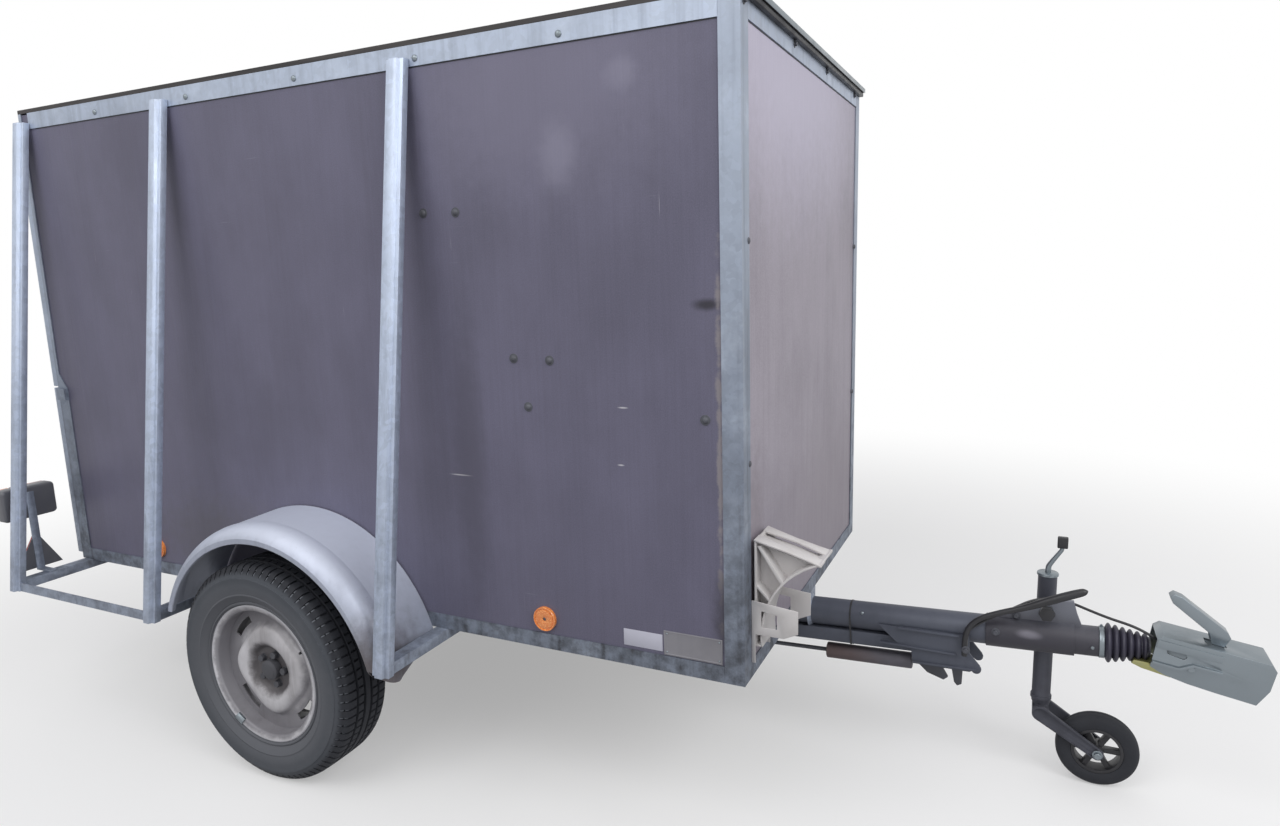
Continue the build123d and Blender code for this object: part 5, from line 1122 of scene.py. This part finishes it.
class TRAILER_OT_drawbar_fittings(bpy.types.Operator):
    """Model the brake lever, the bellows and the fasteners of the drawbar and the coupling"""
    bl_idname = "trailer.drawbar_fittings"
    bl_label = "Drawbar fittings"

    def execute(self, context):
        self.lever()
        self.bellows()
        self.tie()
        self.fasteners()
        self.coupling_parts()
        return {"FINISHED"}

    def lever(self):
        arm = bent_bar("handbrake_arm", [BAR @ Vector((x, LEVER_Y, up)) for x, up, size in
                                         LEVER_LINE], 0.0075, [row[2] for row in LEVER_LINE])
        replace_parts(finished(arm, "black_plastic", smooth=60), "handbrake_lever")
        pieces = [plate("hanging_levers", [BAR @ Vector((x, -0.005, up)) for x, up in outline],
                        (0, 0.010, 0)) for outline in HANGING_LEVERS]
        finished(joined(pieces, "hanging_levers"), "dark_steel", bevel=0.0012)

    def bellows(self):
        """Rounded folds that shrink towards the coupling, and a bright clamp behind them."""
        rows = [(SLEEVE_RADIUS, 0), (39, 0.4)]
        for fold in range(FOLDS):
            rows += [(FIRST_PEAK - PEAK_LOSS * fold - below, 0.6 + FOLD_PITCH * fold + along)
                     for along, below in FOLD]
        folds = turned("gaiter", rows + [(SLEEVE_RADIUS, 99.8)], 56, closed=True)
        folds = repeated(folds, [at((0.7752, 0, 0), FORWARD, BAR)])
        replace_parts(finished(folds, "bellows_rubber", smooth=70), "bellows")
        ring = turned("gaiter_clamp", ((38.8, 0), (40.8, 0), (41.4, 1.2), (40.8, 2.6),
                                       (40.8, 9.4), (41.4, 10.8), (40.8, 12), (38.8, 12)), 56,
                      closed=True)
        ring = repeated(ring, [at((0.7628, 0, 0), FORWARD, BAR)])
        screw = repeated(hex_bolt("clamp_screw", 7, 6), [at((0.7688, 0.012, 0.0405), base=BAR)])
        finished(joined([ring, screw], "gaiter_clamp"), "bright_zinc")

    def tie(self):
        """A cable tie round the tube and the beam, its head hanging below."""
        angles = [radians(-14 + 208 * step / (TIE_POINTS - 1)) for step in range(TIE_POINTS)]
        outline = [(TIE_RADIUS * cos(angle), TIE_RADIUS * sin(angle)) for angle in angles]
        outline += [(-0.0312, -0.0816), (0.0312, -0.0816)]
        band = plate("cable_tie", [BAR @ Vector((0.1225, y, up)) for y, up in outline],
                     BAR.to_3x3() @ Vector((0.005, 0, 0)))
        with editing(band):
            pick_faces(band, lambda middle, normal: abs(normal.x) > 0.9)
            bpy.ops.mesh.delete(type="FACE")
        modify(band, "SOLIDIFY", thickness=0.0013, offset=-1)
        knot = block("cable_tie", BAR @ Vector((0.1205, -0.012, -0.0890)),
                     BAR @ Vector((0.1295, -0.004, -0.0812)))
        finished(joined([band, knot], "cable_tie"), "black_plastic")

    def fasteners(self):
        spots = [at(place, base=BAR) for place in ((0.566, -0.008, 0.052), (0.516, -0.0425, 0.012),
                                                   (0.442, -0.0660, -0.040))]
        spots += [at((0.566, 0.008, 0.052), (0, 1, 0), BAR)]
        finished(repeated(hex_bolt("housing_bolts", 13, 8, 11), spots), "dark_steel", bevel=0.0005)
        nipple = turned("grease_nipple", ((0, 8.5), (2, 7.8), (2.6, 6.2), (1.9, 4.6), (4.2, 3.6),
                                          (4.6, -1)), 14)
        spots = [at((0.747, -0.0388, -0.002), base=BAR),
                 at((0.160, -0.0346, 0.0200), (0, -0.87, 0.5), BAR)]
        finished(repeated(nipple, spots), "bright_zinc")
        weld = turned("tube_weld", ((39.6, 0), (49, 0.4), (47.8, 2.8), (44, 6.2), (41.4, 9.4),
                                    (39.6, 10)), 40, closed=True)
        finished(repeated(weld, [at((0.0005, 0, 0), FORWARD, BAR)]), "galvanised", smooth=60)

    def coupling_parts(self):
        """Lips along the head's upper edges, bolts through its neck, a yellow clip below."""
        lip = ((0.006, 0.026), (0.006, 0.0475), (0.146, 0.0475), (0.146, 0.030))
        lips = [plate("coupling_lips", [HEAD @ Vector((x, side * 0.0516, up)) for x, up in lip],
                      (0, side * 0.0030, 0)) for side in (-1, 1)]
        finished(joined(lips, "coupling_lips"), "bright_zinc", bevel=0.0008)
        spots = [at((0.088, side * 0.0516, -0.004), (0, side, 0), HEAD) for side in (-1, 1)]
        finished(repeated(hex_bolt("coupling_bolts", 15, 9, 12.5), spots), "bright_zinc",
                 bevel=0.0006)
        clip = plate("yellow_clip", [HEAD @ Vector((x, -0.036, up)) for x, up in (
            (-0.030, -0.030), (0.004, -0.026), (0.060, -0.042), (0.056, -0.050),
            (-0.010, -0.046), (-0.034, -0.040))], (0, 0.072, 0))
        finished(clip, "bright_zinc", bevel=0.0015, finish="chromate")


# ------------------------------------------------------------------ wheel chock
CHOCK_SIDES = (-0.573, -0.458)
CHOCK_SLOPE = radians(15.8)
CHOCK_ARC = (0.2275, 0.1066, 0.2032)     # centre from the wall and above the deck, radius
CHOCK_RIBS = (((0.0120, 0.328), (0.0205, 0.328), (0.0760, 0.246), (0.0690, 0.240)),
              ((0.0100, 0.234), (0.0100, 0.226), (0.0420, 0.193), (0.0455, 0.199)))
# Half of the pair of waisted flanges: along the slope, and in from the chock's side.
CHOCK_FLANGE = ((0.0, 0.0), (0.030, 0.0030), (0.0825, 0.0062), (0.135, 0.0030), (0.165, 0.0),
                (0.165, 0.040), (0.146, 0.0385), (0.118, 0.0330), (0.0825, 0.0295),
                (0.047, 0.0330), (0.019, 0.0385), (0.0, 0.040))


class TRAILER_OT_chock(bpy.types.Operator):
    """Model the ribbed wheel chock with its two waisted flanges"""
    bl_idname = "trailer.chock"
    bl_label = "Wheel chock"

    def execute(self, context):
        near, far = CHOCK_SIDES
        slope = Vector((cos(CHOCK_SLOPE), 0, -sin(CHOCK_SLOPE)))
        down = Vector((-sin(CHOCK_SLOPE), 0, -cos(CHOCK_SLOPE)))
        top = Vector((FRONT_X + 0.006, 0, DECK_Z + 0.345))
        parts = [plate("chock_part", [top + slope * along + Vector((0, side + inward * deep, 0))
                                      for along, deep in CHOCK_FLANGE], down * 0.005)
                 for side, inward in ((near, 1), (far, -1))]
        hollow = [top + slope * along + down * 0.013 + Vector((0, y, 0)) for along, y in (
            (0.001, near + 0.022), (0.158, near + 0.022), (0.158, far - 0.022),
            (0.001, far - 0.022))]
        parts.append(plate("chock_part", hollow, down * 0.003))
        middle_x, middle_up, reach = CHOCK_ARC
        arc, outer = ([(middle_x + radius * cos(turn), middle_up + radius * sin(turn))
                       for turn in (radians(107.9 + 79.6 * step / 12) for step in range(13))]
                      for radius in (reach, reach + 0.005))
        wall = [(0.006, 0.080), (0.006, 0.343), (0.011, 0.342), (0.011, 0.080)]
        foot = [(0.006, 0.080), (0.006, 0.085), (0.026, 0.085), (0.026, 0.080)]
        web = [(0.008, 0.082), (0.008, 0.334), (0.158, 0.291)] + [
            (x - 0.001, up) for x, up in arc[1:-1]] + [(0.024, 0.082)]
        half = (far - near) / 2
        slabs = [(arc + outer[::-1], 0.002), (wall, 0.002), (foot, 0.002)]
        slabs += [(rib, 0.004) for rib in CHOCK_RIBS] + [(web, half - 0.020)]
        # Each slab is an outline seen from the side, from the wall and the deck.
        parts += [plate("chock_part", [(FRONT_X + x, near + inset, DECK_Z + up)
                                       for x, up in outline], (0, 2 * (half - inset), 0))
                  for outline, inset in slabs]
        body = finished(joined(parts, "chock_body"), "white_plastic", bevel=0.0014)
        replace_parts(body, "wheel_chock")
        return {"FINISHED"}


# ------------------------------------------------------------------ jockey wheel
# Half of the tyre's section: radius and outboard, in millimetres.
JOCKEY_TYRE = ((63.6, 17), (65, 22.8), (69, 24.4), (79, 24.7), (87, 24), (93.5, 21.8),
               (98.5, 18), (101.2, 13.2), (102.4, 8), (102.7, 4), (101.4, 3), (101.4, 0.8))
CRANK_RADIUS = 0.0055
GRIP_WIDTH = 0.026


class TRAILER_OT_jockey(bpy.types.Operator):
    """Model the jockey wheel's rounded tyre, its axle nuts and the crank"""
    bl_idname = "trailer.jockey"
    bl_label = "Jockey wheel"

    def execute(self, context):
        centre = middle_of("jockey_tyre")
        outline = JOCKEY_TYRE + tuple((radius, -out) for radius, out in JOCKEY_TYRE[::-1])
        tyre = repeated(turned("small_tyre", outline, 72, closed=True),
                        [Matrix.Translation(centre)])
        finished(tyre, "jockey_rubber", "jockey_wheel", smooth=40)
        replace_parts(tyre, "jockey_tyre")
        self.crank()
        low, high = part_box("jockey_fork")
        spots = [at((centre.x, y, centre.z), (0, side, 0)) for y, side in ((low.y, -1),
                                                                          (high.y, 1))]
        finished(repeated(hex_bolt("axle_nuts", 17, 9, 13), spots), "bright_zinc", "jockey_fork",
                 bevel=0.0006)
        return {"FINISHED"}

    def crank(self):
        """A bright rod that leans out of the tube's cap, and a dark oblong grip."""
        low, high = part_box("jockey_crank")
        tube = middle_of("jockey_tube")
        end = high.x - GRIP_WIDTH / 2
        # Along X, height, and thickness there.
        line = ((tube.x, low.z, 1.35), (tube.x, 0.606, 1.35), (tube.x + 0.003, 0.616, 1.2),
                (end - 0.0035, 0.656, 1), (end, 0.662, 1), (end, 0.693, 1))
        rod = bent_bar("crank_arm", [(x, tube.y, up) for x, up, size in line], CRANK_RADIUS,
                       [row[2] for row in line])
        finished(rod, "jockey_steel", "jockey", smooth=60, finish="bright_zinc")
        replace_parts(rod, "jockey_crank")
        grip = block("crank_grip", (high.x - GRIP_WIDTH, low.y, 0.6655), high)
        finished(grip, "black_plastic", "jockey", bevel=0.003, segments=3)
        cap = turned("tube_cap", ((0, 2.8), (25.6, 2.8), (26.8, 2), (27.2, 0.8), (27.2, -4),
                                  (0, -4)), 40)
        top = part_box("jockey_tube")[1].z
        cap = repeated(cap, [at((tube.x, tube.y, top), (0, 0, 1))])
        finished(cap, "jockey_steel", "jockey", finish="bright_zinc")


# ------------------------------------------------------------------ rear end
HINGE_X = -1.7875
HINGE_ROWS = (0.480, 1.988)
HINGE_MIDDLES = (-0.501, 0.0, 0.501)
KNUCKLE_OFFSET, KNUCKLE_LENGTH, KNUCKLE_RADIUS = 0.057, 0.032, 0.006
LAMP_Y = 0.7559              # middle of each rear lamp
LENS_GAP = 0.001             # half of the gap between two chambers


class TRAILER_OT_rear(bpy.types.Operator):
    """Add the box's half of the hinges, the rear lamps' lenses and the triangles' backs"""
    bl_idname = "trailer.rear"
    bl_label = "Rear end"

    def execute(self, context):
        self.hinges()
        self.lenses()
        self.triangle_backs()
        return {"FINISHED"}

    def hinges(self):
        """A knuckle and a leaf on each side of the doors' own half."""
        pieces = []
        for up in HINGE_ROWS:
            for y in (middle + side * KNUCKLE_OFFSET for middle in HINGE_MIDDLES
                      for side in (-1, 1)):
                pieces.append(primitive(
                    "cylinder", "hinge_halves", vertices=24, radius=KNUCKLE_RADIUS,
                    depth=KNUCKLE_LENGTH, location=(HINGE_X, y, up), rotation=(pi / 2, 0, 0)))
                half = KNUCKLE_LENGTH / 2
                pieces.append(block("hinge_halves", (HINGE_X, y - half, up - 0.0015),
                                    (REAR_X + 0.001, y + half, up + 0.0015)))
        finished(joined(pieces, "hinge_halves"), "galvanised", bevel=0.0005)

    def lenses(self):
        """Each lamp has three chambers; the outer one is the amber indicator."""
        low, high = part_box("lamp_lenses")
        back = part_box("lamp_housings")[0].x + 0.0005
        third = 2 * (high.y - LAMP_Y) / 3
        covers = {"lamp_indicators": [], "lamp_covers": []}
        for side in (-1, 1):
            for part in range(3):
                near, far = sorted((side * (high.y - third * (part + 1) + LENS_GAP),
                                    side * (high.y - third * part - LENS_GAP)))
                lens = block("lens", (low.x, near, low.z), (back, far, high.z))
                covers["lamp_covers" if part else "lamp_indicators"].append(lens)
        red, amber = (finished(joined(covers[name], name), slot, bevel=0.004, segments=3)
                      for name, slot in (("lamp_covers", "lamp_lens"),
                                         ("lamp_indicators", "amber_reflector")))
        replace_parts(red, "lamp_lenses")

    def triangle_backs(self):
        """The grey plastic behind each red triangle."""
        backs = copied("triangle_reflectors", "triangle_backs")
        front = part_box("triangle_reflectors")[1].x + 0.0014
        with editing(backs):
            bpy.ops.transform.resize(value=(0.15, 1, 1), center_override=(front, 0, 0))
        finished(backs, "grey_plastic", bevel=0.0004)


# ------------------------------------------------------------------ stage
# Name, place, target and size of each lamp, and the setting that holds its power.
LAMPS = (("key_lamp", (4.6, -2.2, 4.2), (0.3, -0.2, 0.9), 3.2, "key_power"),
         ("fill_lamp", (-1.2, -4.6, 5.6), (-0.4, 0, 0.9), 4.5, "fill_power"))
FLOOR_MOTTLE = (0.86, 0.86, 0.87, 1)
FLOOR_BOUNCE = (0.15, 0.15, 0.16, 1)     # the floor as the light sees it
PALE_TO, WHITE_FROM = 1.9, 5.2           # how far out the floor turns white


class TRAILER_OT_stage(bpy.types.Operator):
    """Set up the floor, the lamps, the sky and the camera"""
    bl_idname = "trailer.stage"
    bl_label = "Stage"

    def execute(self, context):
        stage = context.scene.trailer_stage
        self.floor(stage)
        self.sky(context.scene, stage)
        for name, place, target, size, power in LAMPS:
            self.lamp(name, place, target, size, getattr(stage, power))
        self.camera(context.scene, stage)
        return {"FINISHED"}

    def floor(self, stage):
        """Pale to the eye and white further out, but dark to the light that it throws back."""
        floor = primitive("plane", "studio_floor", size=60)
        t = Finish("studio_floor", 0.85)
        seen = t.seen_rays()
        mottled = t.mix(t.noise(t.place, 0.6), stage.floor_colour, FLOOR_MOTTLE)
        t.put(t.surface["Base Color"], t.mix(seen, FLOOR_BOUNCE, mottled))
        white = t.remap(t.vector("LENGTH", t.place), PALE_TO, WHITE_FROM, 0.34, 1.0)
        blend = t.add("MixShader", {
            0: t.times(seen, white), 1: t.tree.nodes["Principled BSDF"].outputs[0],
            2: t.add("Emission", {"Strength": 1.0}).outputs[0]})
        t.put(t.tree.nodes["Material Output"].inputs["Surface"], blend.outputs[0])
        floor.data.materials.append(t.material)

    def sky(self, scene, stage):
        scene.world = bpy.data.worlds.new("studio_sky")
        scene.world.use_nodes = True
        t = Tree(scene.world.node_tree)
        background = t.tree.nodes["Background"].inputs
        background["Color"].default_value = (1.0, 1.0, 1.0, 1)
        t.put(background["Strength"], t.scaled(t.seen_rays(), 1 - stage.sky_strength,
                                               stage.sky_strength))

    def lamp(self, name, place, target, size, power):
        light = bpy.data.lights.new(name, "AREA")
        light.size = size
        light.energy = power
        lamp = bpy.data.objects.new(name, light)
        aim = (Vector(target) - Vector(place)).to_track_quat("-Z", "Y")
        lamp.matrix_world = Matrix.Translation(place) @ aim.to_matrix().to_4x4()
        bpy.context.scene.collection.objects.link(lamp)

    def camera(self, scene, stage):
        ahead = Vector((cos(stage.heading) * cos(stage.pitch),
                        sin(stage.heading) * cos(stage.pitch), sin(stage.pitch)))
        level = Vector((sin(stage.heading), -cos(stage.heading), 0))
        above = level.cross(ahead)
        right = level * cos(stage.roll) + above * sin(stage.roll)
        up = above * cos(stage.roll) - level * sin(stage.roll)
        turn = Matrix((right, up, -ahead)).transposed()
        data = bpy.data.cameras.new("camera")
        data.sensor_width = 36
        data.lens = stage.lens
        camera = bpy.data.objects.new("camera", data)
        camera.matrix_world = Matrix.Translation(stage.camera_place) @ turn.to_4x4()
        scene.collection.objects.link(camera)
        scene.camera = camera
        scene.view_settings.view_transform = "Standard"


# ------------------------------------------------------------------ panel and registration
class TRAILER_PT_panel(bpy.types.Panel):
    """Lists the trailer's settings and steps"""
    bl_label = "Box Trailer"
    bl_space_type = "VIEW_3D"
    bl_region_type = "UI"
    bl_category = "Trailer"

    def draw(self, context):
        for group in (context.scene.trailer_stage, context.scene.trailer_finish):
            for name in group.__annotations__:
                self.layout.prop(group, name)
        for step in STEPS:
            self.layout.operator(step.bl_idname)


STEPS = (TRAILER_OT_finishes, TRAILER_OT_stage, TRAILER_OT_cable, TRAILER_OT_wheels,
         TRAILER_OT_soft_edges, TRAILER_OT_wall_fittings, TRAILER_OT_drawbar_fittings,
         TRAILER_OT_chock, TRAILER_OT_jockey, TRAILER_OT_rear)
CLASSES = (TrailerStage, TrailerFinish, *STEPS, TRAILER_PT_panel)


def register():
    for cls in CLASSES:
        bpy.utils.register_class(cls)
    bpy.types.Scene.trailer_stage = bpy.props.PointerProperty(type=TrailerStage)
    bpy.types.Scene.trailer_finish = bpy.props.PointerProperty(type=TrailerFinish)


def unregister():
    del bpy.types.Scene.trailer_finish
    del bpy.types.Scene.trailer_stage
    for cls in reversed(CLASSES):
        bpy.utils.unregister_class(cls)


def main():
    register()
    for step in STEPS:
        area, action = step.bl_idname.split(".")
        getattr(getattr(bpy.ops, area), action)()


if __name__ == "__main__":
    main()
